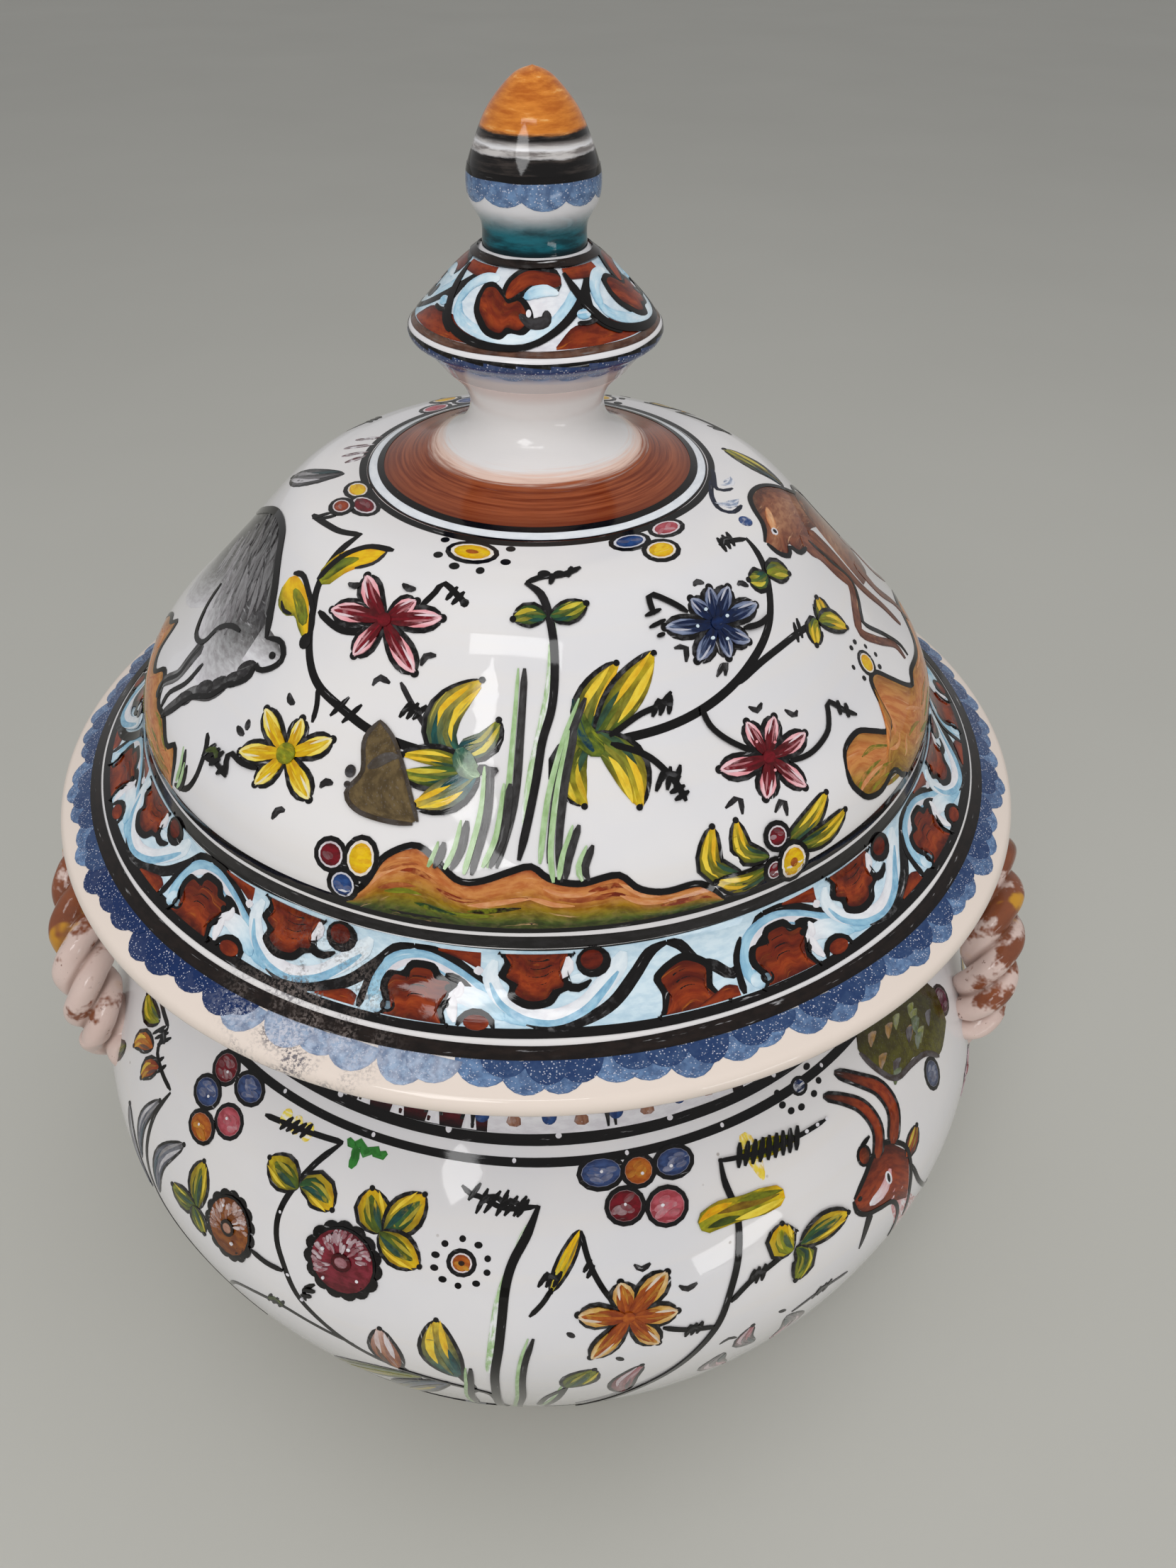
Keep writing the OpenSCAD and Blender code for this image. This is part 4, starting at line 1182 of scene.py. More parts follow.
def right_spray(tag, turned, star=(NAVY, blend(BLUE, PALE, 0.22)), second=(CRIMSON, BLUSH)):
    on = dome("right_spray_" + tag, turned)
    line(on, [(9.5, 77.3), (18, 78), (25, 79.5), (32, 82), (38, 85), (43, 88), (47, 91.5), (51, 97), (53.5, 102),
              (54.6, 107)], width=1.8)
    line(on, [(54.4, 106.8), (50, 108.5), (46.4, 109)], width=1.3)
    knot(on, (49, 108.8), 3.2)
    line(on, [(33, 82), (40, 84), (48, 84.7), (53, 84.4), (57, 83.5)], width=1.5)
    bars(on, (50.4, 85), (51.8, 85.2))
    leaf(on, [(52, 98.4), (49.4, 98.2), (46.4, 99.6)], 4.2, GREEN, OLIVE)
    leaf(on, [(52, 98.4), (55, 97.8), (58.2, 95.2)], 4.2, OLIVE, MOSS)
    leaf(on, [(57.4, 83.5), (55.4, 83.2), (53.2, 80)], 3.8, OLIVE, YELLOW)
    leaf(on, [(57.4, 83.5), (60.4, 84), (61.4, 87)], 4.6, MOSS, YELLOW)
    leaf(on, [(57.4, 83.5), (61, 81), (63.6, 77)], 4.2, OLIVE, YELLOW)
    flower(on, (34, 94.6), [(31, 101), (36.2, 101.8), (40.5, 100.3), (23.5, 97), (27.5, 89), (33.6, 87.4),
                            (39, 88.7), (44.5, 94.5)], 4.6, *star)
    dots(on, [(31.8, 92.2), (34.6, 91), (36.6, 95.2), (33, 98), (29.8, 95.4)], 0.7, PALE)
    line(on, [(29, 98.6), (26.4, 101.4), (22.5, 104), (22, 99.8)], width=1.2)
    line(on, [(20.4, 97.6), (24, 98.4)], [(20.2, 100), (23.8, 100.6)], [(21.4, 95.6), (23, 95.8)], width=0.9)
    ticks(on, [(33, 103.2), (34.2, 103.8), (35.6, 103)], [(43, 99.8), (44, 99.9), (45.4, 98.5)],
          [(24, 92.6), (26.2, 92.2), (25.4, 89.4)], [(30, 84.8), (32.6, 87), (31.6, 84.4)], width=1.3)
    line(on, [(39, 91.6), (43, 90.8), (46.8, 91.4)], width=1.3)
    flower(on, (33, 66.2), [(32, 74.4), (37, 73), (40.8, 67), (36.4, 57.6), (30, 59), (25, 67.5)], 4.8, *second)
    dots(on, [(32.2, 70), (35, 68.4), (33, 63.4)], 0.6, BLUSH)
    line(on, [(25.3, 80.2), (25.8, 76), (28, 72), (31, 68.5)], width=1.2)
    line(on, [(36, 63.6), (40, 63), (44.5, 64.5), (46.5, 67), (48, 69.5), (50, 66), (51.9, 63.2)], width=1.2)
    bars(on, (49.4, 67), (50.6, 65.4), long=3.2)
    ticks(on, [(33.4, 77), (34.6, 75.6), (36, 76.6)], [(39.4, 73.2), (40.6, 71.2), (41.6, 71.8)],
          [(24, 60), (26.4, 61.2), (26, 57.8)], [(30.5, 55.8), (32.4, 57.6), (32, 54.2)], width=1.3)
    leaf(on, [(6.4, 77), (7.6, 84), (13, 92)], 5.6, blend(MOSS, GREEN, 0.5), YELLOW, edge=1)
    leaf(on, [(8, 77.5), (12.6, 84), (20, 92.6)], 6.4, MOSS, YELLOW, edge=1)
    leaf(on, [(6.8, 79), (3.8, 73), (5.4, 65.4)], 6.4, MOSS, blend(OLIVE, YELLOW, 0.6), edge=-1)
    leaf(on, [(7.4, 79), (11.6, 73), (12.6, 64)], 7.0, blend(GREEN, OLIVE, 0.4), YELLOW, edge=1)
    on.brush([(5.4, 84), (6.2, 79), (8.6, 75)], [2.0, 4.6, 3.4], blend(MOSS, GREEN, 0.4), MOSS, full=0.7, under=OLIVE)
    on.brush([(5, 86), (5.6, 80), (7.4, 75.6)], [0.8, 1.8, 1.0], blend(NAVY, TEAL, 0.5), full=0.4, under=MOSS)
    line(on, [(10, 78.2), (15, 81.4), (19, 82.6), (21.2, 84.6)], width=1.2)
    knot(on, (19.2, 82.2), 3.0)
    line(on, [(10, 76.8), (15, 73.5), (18, 68), (19, 63.4)], width=1.3)
    knot(on, (17.4, 68.4), 3.6)
    bars(on, (18.2, 66), (18.6, 64.6), lean=15, long=3.4)
    on.dry()


left_spray("front", 0)
right_spray("front", 0)
left_spray("back", 183, (NAVY, SKY), (BRICK, OCHRE))
right_spray("back", 183, (BRICK, LEMON), (CRIMSON, BLUSH))

# %% [markdown]
# ## The dome's middle
# A stem with a pair of leaves stands on a hummock, in tall grass, with a sun-like spot beside it. Berries in
# threes and fours fill the corners, and a crust of brown slip has stuck to the glaze.

# %% The dome's middle
def middle(tag, turned):
    on = dome("hummock_" + tag, turned)
    hill(on, 41.9, [(-23.6, 42.6), (-21, 48), (-19.5, 53), (-17, 56), (-15, 56.5), (-12.5, 54), (-10, 51.2),
                    (-7.5, 51.4), (-4, 53.5), (-1.5, 54.5), (0.6, 52.2), (4, 51), (7, 51.8), (9, 51.8), (11, 48.8),
                    (14, 47.3), (18, 47.5), (20, 45.4), (21.4, 42.6)])
    on.dry()
    on = dome("grass_" + tag, turned)
    grass(on, [(-2.8, 92), (-3.2, 80), (-3.8, 66), (-5.6, 54)], [(-7.2, 73), (-7.2, 64), (-8.5, 52.5)],
          [(-4.4, 70), (-5, 60), (-6.4, 54)], [(-9.7, 62.5), (-10, 57), (-11, 53)], [(7, 86), (4, 78), (1.6, 67),
          (0.5, 55)], [(5, 80), (3, 70), (1.8, 58), (2, 51.5)], [(4.5, 62), (3, 56), (2.5, 52)],
          [(6, 58), (4.8, 54), (5.2, 51.5)], [(-12.2, 58), (-12.4, 55.6), (-13, 53)], width=1.6)
    on.brush([(2.4, 102), (2, 95), (1.4, 88), (0, 80), (-1.4, 72), (-2.4, 62)], [1.4, 2.2, 1.8], MINT, full=0.45)
    line(on, [(-3.2, 109.4), (0, 107), (1.5, 103), (2.3, 97), (2.2, 90), (1.5, 84), (0, 78), (-1, 70), (-3, 55.6)],
         width=1.6, tint=blend(INK, SMOKE, 0.4))
    line(on, [(-3, 109.5), (0.5, 111), (5, 111.3), (9.8, 113)], width=1.2)
    on.spot((1, 111.6), (2.6, 2.0), INK)
    on.spot((4.5, 111.5), (2.4, 1.8), INK)
    bars(on, (2.8, 110.4), (7, 112), long=2.8)
    leaf(on, [(1.2, 102), (-2, 102.4), (-5.2, 101.4)], 4.0, GREEN, MOSS, line=0.7)
    leaf(on, [(1.8, 102), (5, 102.6), (9.2, 104.2)], 3.8, GREEN, OLIVE, line=0.7)
    berry(on, (-18, 117), (9.0, 5.2), YELLOW, heart=OCHRE)
    dots(on, [(-27.5, 119.2), (-26, 114.3), (-20.5, 112.2), (-14, 112), (-8.5, 115), (-8, 119.3)], 1.8)
    on.dry()
    on = dome("berries_" + tag, turned)
    berry(on, (-26.2, 51), (5.4, 5.2), CRIMSON)
    berry(on, (-22.2, 52), (5.6, 7.0), YELLOW)
    berry(on, (-24, 46), (5.0, 5.0), BLUE)
    berry(on, (26, 118.5), (7.2, 4.2), BLUE)
    berry(on, (39.5, 119), (7.0, 4.2), PINK)
    berry(on, (31.8, 113.6), (6.6, 4.8), YELLOW)
    for path, wide in (([(24, 46), (20, 50), (21.4, 57.4)], 4.4), ([(28, 48), (24.6, 51), (24.8, 57.2)], 3.6),
                       ([(30, 49), (35, 51), (39.2, 54.6)], 3.8), ([(32, 47.5), (37, 47), (41.2, 49.2)], 3.8),
                       ([(28, 46), (24, 44.6), (20.4, 46.8)], 3.8)):
        leaf(on, path, wide, MOSS, YELLOW, line=0.8)
    berry(on, (28.4, 45), (3.6, 3.6), CRIMSON)
    berry(on, (29.6, 51.4), (4.4, 4.2), CRIMSON)
    berry(on, (31.2, 45), (6.2, 7.2), YELLOW, heart=OCHRE)
    on.dry()


middle("front", 0)
middle("back", 178)
crust = dome("crust", 0, earth_wash)
CRUST = tone(108, 90, 58)
crust.wash([(-25.6, 77.6), (-26.2, 73), (-25, 68), (-26.2, 63.6), (-24.4, 60.8), (-20, 60.2)],
           [(-25, 78.2), (-23, 76.8), (-21, 73.4), (-18.4, 67.4), (-16.2, 61.6), (-17.6, 60.2)], CRUST,
           blend(CRUST, INK, 0.2),
           CRUST, full=1.0, count=18, rows=9)
crust.brush([(-25, 78.2), (-26.4, 74), (-25.2, 68), (-26.6, 63.4), (-24.4, 60.6), (-20, 60), (-16.6, 60.4)], 1.0,
            tone(52, 40, 20), full=0.95)
crust.brush([(-25, 78.4), (-22, 75.6), (-19, 69.4), (-16, 61)], 0.8, tone(60, 48, 28), full=0.95)
crust.brush([(-24.6, 69), (-22, 72), (-20.4, 72.4)], [1.6, 2.4, 1.0], tone(70, 62, 52), full=0.95)
crust.spot((-27, 67.4), (2.2, 2.6), INK)
crust.spot((-26.8, 64.8), (1.4, 1.4), INK)
crust.dry()
print("the middle group is painted twice, front and back")

# %% [markdown]
# ## Beasts on the dome
# A brown deer runs off to the right, and a grey beast stands on the left. They are generic animals of this old
# style: a washed body, darker along the back, and an inked outline that doesn't quite meet the wash.

# %% Beasts on the dome
FUR = tone(138, 76, 46)


def deer():
    on = dome("deer_front")
    coat = (blend(BRICK, SEPIA, 0.5), FUR, blend(FUR, PEACH, 0.35), FUR, blend(FUR, SEPIA, 0.6))
    on.wash([(59.5, 100), (62, 98.2), (65.2, 99.2), (66.8, 96.4), (70, 95), (78, 95), (84, 92), (90, 88)],
            [(58.6, 104), (63, 106), (67, 109.2), (72, 111.4), (78, 110.8), (83, 107.5), (90, 98)],
            *coat, full=0.84, count=30, rows=7, under=PEACH)
    on.wash([(82, 74), (86, 72), (92, 70), (99, 74)], [(84, 96), (88, 99), (94, 97), (101, 88)], *coat, full=0.84,
            count=16, rows=7, under=PEACH)
    on.brush([(70.6, 96.6), (74, 92), (75.4, 85), (76.4, 79), (70, 76), (66.7, 73.2), (69.6, 68), (73.6, 62.4),
              (73, 58.4)], [7.2, 5.0, 4.2, 3.4, 2.8, 2.4, 2.2, 2.0], FUR, blend(FUR, SEPIA, 0.5), full=0.9, under=PEACH)
    for leg, widths in (([(76, 95), (79.4, 86), (80, 75), (82, 66), (82, 59.6)], [6.6, 4.6, 3.4, 2.6, 2.2]),
                        ([(88, 76), (86.4, 68), (88.6, 60), (87.4, 54)], [6.4, 3.6, 2.6, 2.2]),
                        ([(97, 78), (99.6, 70), (97.4, 62), (99.4, 55)], [6.4, 3.8, 2.6, 2.2])):
        on.brush(leg, widths, FUR, blend(FUR, SEPIA, 0.4), full=0.9, under=PEACH)
    line(on, [(58.4, 103.6), (63, 106), (67, 109.5), (72, 111.6), (78, 111), (83, 108), (90, 99.4), (95, 98),
              (101, 88.6), (99.4, 75)], [(58.6, 103), (59.6, 99.8), (62.4, 97.6), (64.8, 98.8), (66.4, 96), (70.4, 95)],
         [(73.4, 95), (76, 87), (78, 79), (71, 74.6), (69.8, 72.6), (73, 66.6), (75.2, 61), (74.6, 57.6)], width=1.2)
    on.brush([(63, 102.6), (67, 105.4), (71, 107.4)], [0.8, 2.6, 1.0], PEACH, full=0.7, under=FUR)
    on.spot((64.2, 103.4), (2.2, 1.8), WHITE)
    on.spot((64.3, 103.4), (1.1, 1.1), INK)
    on.dry()


def grey_beast():
    on = dome("grey_beast_front")
    coat = (WHITE, blend(GREY, WHITE, 0.5), GREY, SMOKE, SMOKE, INK)
    on.wash([(-100, 62), (-92, 61), (-84, 66), (-77, 73), (-72.6, 69.4), (-68, 66), (-60, 64), (-55, 71), (-52.6, 76)],
            [(-100, 86), (-94, 91), (-89, 94.6), (-84, 98), (-79, 100.2), (-73.5, 100.5), (-68, 98.8), (-60.4, 92.4),
             (-53.6, 82.6)],
            *coat, full=0.8, count=44, rows=11, under=blend(GREY, WHITE, 0.6))
    on.wash([(-56, 76), (-52, 76.6), (-48.2, 79.6)], [(-56, 85), (-52, 84.4), (-47.8, 82.4)], WHITE,
            blend(GREY, WHITE, 0.6),
            GREY, full=0.85, count=8, rows=3)
    for path in ([(-68.4, 70), (-68.6, 65), (-68.6, 60.6), (-70.6, 56.4), (-69.4, 53)],
                 [(-56.4, 70.6), (-58, 66), (-62, 62), (-64, 56), (-65, 52.6)]):
        on.brush(path, [4.4, 4.0, 3.4, 3.2, 2.4], SMOKE, GREY, SMOKE, full=0.86, under=PALE)
    back = curve([(-84, 98.2), (-79, 100.2), (-73.5, 100.6), (-68.5, 99.2), (-64.2, 97), (-59.6, 92.8)], 12)
    for k in range(90):
        edge, deep, long = back[k * 7 % 55], 22 * dice.random() ** 1.3, 0.5 + 0.6 * dice.random()
        x, y = edge.x - 0.42 * deep, edge.y - 0.8 * deep
        on.brush([(x, y), (x + 3 * long, y - 3.6 * long), (x + 5 * long, y - 7.4 * long)], [0.6, 1.8, 0.5],
                 blend(INK, WHITE, min(0.7, deep / 42 + 0.24 * dice.random())), full=0.6, under=GREY)
    for at in ((-55, 71.6), (-57.4, 68.4), (-60, 65.4), (-62.6, 60), (-53.6, 75.4)):
        on.spot(at, (4.6, 3.6), SMOKE, INK, full=0.75, under=GREY, lean=40)
    on.dry()
    on = dome("beast_outline_front")
    line(on, [(-99.6, 86), (-94, 91), (-89, 95), (-84, 98.4), (-79, 100.4), (-73.6, 100.8), (-68.4, 99.2),
              (-60.3, 92.8),
              (-56, 87), (-53.5, 83)], width=1.9)
    line(on, [(-53.5, 83), (-49.8, 84.4), (-47.4, 82.2), (-48, 79.5), (-50.5, 77), (-52.2, 77.2), (-52, 74.6),
              (-53.4, 72), (-55.4, 70), (-57.5, 65.5), (-61.3, 61.6), (-63.2, 56), (-64.8, 52.5)],
         [(-68.8, 53.2), (-70.6, 56.2), (-68.4, 61), (-68.7, 65), (-68.4, 70.2)],
         [(-61, 79.6), (-64.2, 78.7), (-67.5, 75.4), (-68.8, 70.2), (-73, 69), (-77.2, 73.5), (-79, 79)],
         [(-64.4, 68), (-65, 62), (-67, 57), (-66.4, 53.6)], width=1.3)
    on.spot((-49.8, 81), (1.8, 1.6), INK)
    on.dry()


def side_hills():
    on = dome("side_hills_front")
    hill(on, 42.9, [(-96, 46), (-90, 56), (-86, 58), (-83.5, 61), (-80, 55), (-76, 53.5), (-73.5, 57), (-71, 56.5),
                    (-68, 53), (-64, 53), (-60, 50), (-58, 52), (-56.4, 49), (-56, 44)], green=False)
    top = [(44.2, 56), (46, 59.5), (50, 60.5), (53, 58), (55.5, 55.5), (57.5, 56.4), (58.5, 61), (60, 65.4),
           (62.5, 65.4), (65, 61), (67, 57), (69, 54.8), (72, 56), (80, 54), (90, 57), (98, 52), (101, 46)]
    low = [(44.2, 54), (44.5, 50.6), (46, 48.2), (49, 47), (53, 48), (55, 45.4), (58, 43), (70, 42.9), (85, 42.9),
           (101, 42.9)]
    hill(on, 42.9, top, low, green=False)
    line(on, [(44.2, 56), (43.8, 53), (44.6, 50.4), (46, 48), (49, 46.8), (53, 48), (55, 45), (57, 43.2)], width=1.3)
    berry(on, (62, 68.4), (4.6, 4.8), YELLOW, line=0.8)
    dots(on, [(61, 73.5), (63, 73.5), (65, 70.5), (66, 67.2), (64.5, 65), (58.8, 67), (58.2, 70.5)], 1.2)
    berry(on, (-71.5, 119), (6.4, 4.2), YELLOW)
    berry(on, (-61, 118), (8.0, 4.4), CRIMSON)
    berry(on, (-65, 114), (5.4, 3.6), BRICK)
    leaf(on, [(-84, 117), (-88, 109), (-96, 102)], 6.0, SMOKE, GREY, line=0.6)
    for path in ([(-92, 116.6), (-94, 119), (-96.4, 121)], [(-97, 115), (-98, 118), (-99, 121)],
                 [(-103, 114), (-104, 118), (-105.4, 121)], [(-109, 115), (-110, 118), (-112, 121)]):
        on.brush(path, [1.2, 1.8, 0.7], blend(SMOKE, PINK, 0.3), full=0.5)
    line(on, [(76, 121), (66, 119.3), (60, 116), (61, 113), (66.4, 112.4)], [(84, 121), (72, 119.6), (71, 117.4),
         (73.8, 115.8)], width=1.1, tint=blend(NAVY, INK, 0.5))
    on.spot((60.4, 109.6), (3.4, 3.2), BLUE, full=0.7)
    for path in ([(62, 117.6), (63.5, 114.8), (69, 113.6)], [(74, 118.6), (76, 117), (81, 116.8)]):
        on.brush(path, [1.0, 3.0, 1.0], blend(BLUE, PALE, 0.4), ends="leaf", full=0.4)
    leaf(on, [(88, 103), (93, 110), (101, 116)], 5.4, SMOKE, OLIVE, line=0.6)
    on.dry()


side_hills()
deer()
grey_beast()

# %% [markdown]
# ## Bands and berries of the bowl
# The neck has two black bands, and above them, in the brim's shade, a net of arches with blue dots. White drips
# cross the bands where the glaze ran in the kiln.

# %% Bands and berries of the bowl
def bowl(name, turned=0, finish=None):
    return Painting("bowl_" + name, bowl_wall, "pot", finish, turned=turned)


neck = bowl("neck_bands")
neck.ring(151.3, 2.1, INK, full=0.98)
neck.ring(156.2, 2.6, INK, full=0.98)
neck.ring(167.4, 19.0, WHITE, full=0.98, wander=0.1)
for k in range(24):
    turn = 15 * k + 4 * dice.random()
    neck.spot((turn, 156.9 + 0.8 * dice.random()), (1.4, 1.0 + 1.6 * dice.random()), WHITE)
    neck.spot((turn + 6 + 3 * dice.random(), 151.6), (0.9, 1.1), WHITE)
neck.ring(194.0, 1.2, INK, full=0.8)
neck.dry()
net = bowl("neck_net")
net_count = 20
for k in range(net_count):
    turn = 18 * k - 27
    if k % 3:
        for s in (0, 9):
            net.brush([(turn + s, 159.4), (turn + s + 0.4, 163)], 3.4, BLUE, blend(BLUE, NAVY, 0.5), ends="round",
                      full=0.85)
            net.brush([(turn + s + 4.4, 159), (turn + s + 4.6, 161.6)], [3.6, 2.6], blend(OCHRE, GREY, 0.5), full=0.8)
            dots(net, [(turn + s + 2.4 * i, 164.6 + 1.2 * (i % 2)) for i in (0, 1, 2)], 1.9, BLUE)
        net.brush([(turn - 1, 158), (turn, 168), (turn + 9, 171), (turn + 17, 168), (turn + 18, 158)], 1.1, INK)
    else:
        net.wash([(turn - 1, 157.4), (turn + 19, 157.4)], [(turn - 1, 169), (turn + 19, 169)], INK, CRIMSON, RUST,
                 full=0.95,
                 count=10, rows=4)
        for s in (1.6, 6.6, 11.6, 16.6):
            net.brush([(turn + s, 157.6), (turn + s, 166.4)], 5.4, INK, ends="flick")
            net.brush([(turn + s, 157.6), (turn + s, 164.6)], 3.4, WHITE, ends="flick", full=1.0)
    net.brush([(turn + 3, 175), (turn + 9, 180.6), (turn + 15, 175)], [1.2, 1.7, 1.2], INK)
net.dry()


def berries(on, *sorts):
    for turn, up, wide, tall, tint in sorts:
        berry(on, (turn, up), (wide * 1.12, tall * 1.12), tint, gap=False)
        if dice.random() < 0.7:
            dots(on, [(turn + 1.2 * (dice.random() - 0.5), up + 1.6 * (dice.random() - 0.5))], 0.7, WHITE)


on = bowl("berries")
DUSK = tone(58, 80, 128)
berries(on, (-47, 146.8, 6.4, 6.0, CRIMSON), (-42, 147, 7.0, 5.4, DUSK), (-47.5, 139.3, 7.0, 5.6, DUSK),
        (-42.3, 137.8, 6.6, 5.8, PINK), (-45.6, 132, 6.8, 5.6, OCHRE))
berries(on, (6.4, 148.2, 8.0, 5.4, DUSK), (11, 147.4, 5.6, 5.2, OCHRE), (15.5, 147.5, 7.0, 5.2, DUSK),
        (8.8, 140.5, 6.6, 6.0, CRIMSON), (13.6, 138.6, 7.2, 6.4, PINK))
berries(on, (56, 125.5, 5.4, 6.4, blend(BLUE, GREY, 0.5)), (66, 132, 6.0, 6.0, blend(CRIMSON, NAVY, 0.4)))
on.dry()
print("the net on the neck has", net_count, "cells")

# %% [markdown]
# ## Sprays of the bowl
# Round the shoulder run stems with pompom flowers, barbed twigs and buds. They are drawn with the same figures as
# the dome's, larger, because the brush had more room.

# %% Sprays of the bowl
def pompom(on, at, wide, tall, tint, heart, petals=15):
    """A round flower: a bumpy inked edge, a solid wash, a pale fringe on its upper left and a ring in its middle."""
    r = on.wall.at(at[1])[0]

    def out(angle, far):
        return at[0] + math.degrees(math.cos(angle) * wide * far / r), at[1] + math.sin(angle) * tall * far

    for k in range(petals):
        on.spot(out(math.tau * k / petals, 0.47), (wide * 0.22, tall * 0.2), INK, grow=0.5)
    on.spot(at, (wide, tall), INK, grow=0.2)
    on.spot(at, (wide * 0.95, tall * 0.95), tint, blend(tint, SEPIA, 0.3), blend(tint, SEPIA, 0.15), full=0.92,
            under=blend(tint, WHITE, 0.5))
    for k in range(80):
        angle, deep = 0.2 + 3.6 * dice.random(), 0.47 - 0.2 * dice.random() ** 2
        on.brush([out(angle, deep), out(angle + 0.1, deep - 0.06 - 0.1 * dice.random())], [1.0, 0.5],
                 blend(tint, WHITE, 0.8 - 0.6 * dice.random()), full=0.65, under=tint)
    on.spot(at, (wide * 0.26, tall * 0.22), blend(heart, INK, 0.6), grow=0.4)
    on.spot(at, (wide * 0.2, tall * 0.16), blend(tint, WHITE, 0.2))


def pompom_spray(tag, turned, first=(tone(156, 88, 22), SEPIA), second=(tone(140, 40, 58), CRIMSON)):
    on = bowl("pompoms_" + tag, turned)
    line(on, [(-38, 144.5), (-33, 146), (-26.3, 147.6)], width=1.4)
    for t in (-35, -33.2, -31.4):
        on.spot((t, 145.8 + 0.8 * (t % 2)), (3.0, 4.6), LEMON, full=0.5)
    line(on, [(-36, 145.2), (-29, 146.9)], width=1.2)
    bars(on, (-34.6, 145.6), (-33.6, 145.9), (-32.6, 146.1), (-31.6, 146.4), long=4.4, width=1.2)
    line(on, [(-26.4, 147.5), (-28.5, 142), (-30, 136), (-31, 130), (-31.3, 125), (-30.8, 120), (-29.5, 115),
              (-27.5, 108), (-25, 103), (-22, 98), (-19, 94), (-16.6, 91)], width=1.5)
    leaf(on, [(-29.8, 134.2), (-31.8, 135.4), (-34.8, 137)], 7.2, MOSS, blend(OLIVE, YELLOW, 0.6), rim=True)
    leaf(on, [(-29.8, 135), (-27.6, 136), (-25, 133)], 7.0, GREEN, YELLOW, rim=True)
    leaf(on, [(-42.5, 112.4), (-43.1, 118.2), (-43.3, 125.6)], 6.2, MOSS, blend(OLIVE, YELLOW, 0.6), rim=True)
    leaf(on, [(-42.8, 113), (-45.2, 111.2), (-47.4, 111.8)], 5.4, MOSS, OLIVE, rim=True)
    leaf(on, [(-43.2, 112.6), (-42, 109.5), (-41, 107)], 5.0, MOSS, OLIVE, rim=True)
    pompom(on, (-37.3, 115.4), 13.4, 16.0, *first)
    line(on, [(-33.8, 113.6), (-31.6, 112.8), (-29.4, 113.2)], width=1.2)
    leaf(on, [(-18.8, 131.6), (-20.2, 135.6), (-21, 140.6)], 7.4, MOSS, YELLOW, rim=True)
    leaf(on, [(-18.5, 131.8), (-16.6, 136.6), (-14.6, 142.2)], 7.0, GREEN, YELLOW, rim=True)
    leaf(on, [(-19, 132), (-17, 129.6), (-14, 126.4)], 7.0, MOSS, YELLOW, rim=True)
    pompom(on, (-22.6, 122.4), 16.2, 16.0, *second)
    line(on, [(-25.4, 113.6), (-26.6, 110.8), (-26.4, 107.4)], width=1.2)
    bars(on, (-25.9, 111.4), (-26.3, 109.4), lean=20, long=3.0)
    dots(on, [(-25, 124), (-22, 126), (-20.6, 119), (-24.4, 117), (-38.6, 120), (-36.4, 112), (-28.8, 112.6),
              (-26.8, 107.6), (-31.2, 127)], 0.8, WHITE)
    berry(on, (-9.5, 128.8), (4.8, 4.6), OCHRE, heart=SEPIA)
    dots(on, [(-9.6, 134.2), (-7.8, 133.2), (-6.7, 130.4), (-6.7, 127.2), (-7.8, 124.4), (-9.7, 123.4), (-11.4, 124.4),
              (-12.4, 126.8), (-12.4, 129.8), (-11.5, 132.6)], 1.5)
    line(on, [(-21, 97.5), (-26, 99.5), (-30, 100.5), (-34, 98.5), (-37, 95), (-39, 88)], width=1.2)
    knot(on, (-30.5, 101), 3.4, MOSS)
    line(on, [(-16.4, 93), (-14.6, 86), (-13.6, 80)], [(-10, 97), (-8.6, 88), (-8.6, 80)], width=2.2)
    leaf(on, [(-16.4, 90.5), (-17.4, 99.6), (-17.8, 107.6)], 6.8, blend(OCHRE, SEPIA, 0.3), blend(OCHRE, WHITE, 0.6))
    leaf(on, [(-9.8, 93), (-11.4, 103.6), (-11.8, 114)], 8.4, blend(TEAL, GREEN, 0.4), YELLOW)
    leaf(on, [(-14, 88), (-19, 82), (-24, 72), (-27, 62)], 8.6, OLIVE, SMOKE)
    leaf(on, [(-11, 88), (-14, 80), (-17, 68), (-19, 55)], 8.6, blend(GREY, BLUE, 0.4), SMOKE)
    line(on, [(-16.4, 90.8), (-11, 87), (-7, 82), (-6.4, 74)], width=1.3)
    line(on, [(-25.8, 149), (-24.8, 147.6), (-24, 149), (-23, 147), (-22.2, 149), (-21.4, 147.4), (-20.4, 148.8)],
         [(-24.6, 148), (-24.2, 145.6), (-24.4, 143)], width=2.1, tint=tone(66, 150, 66))
    on.dry()


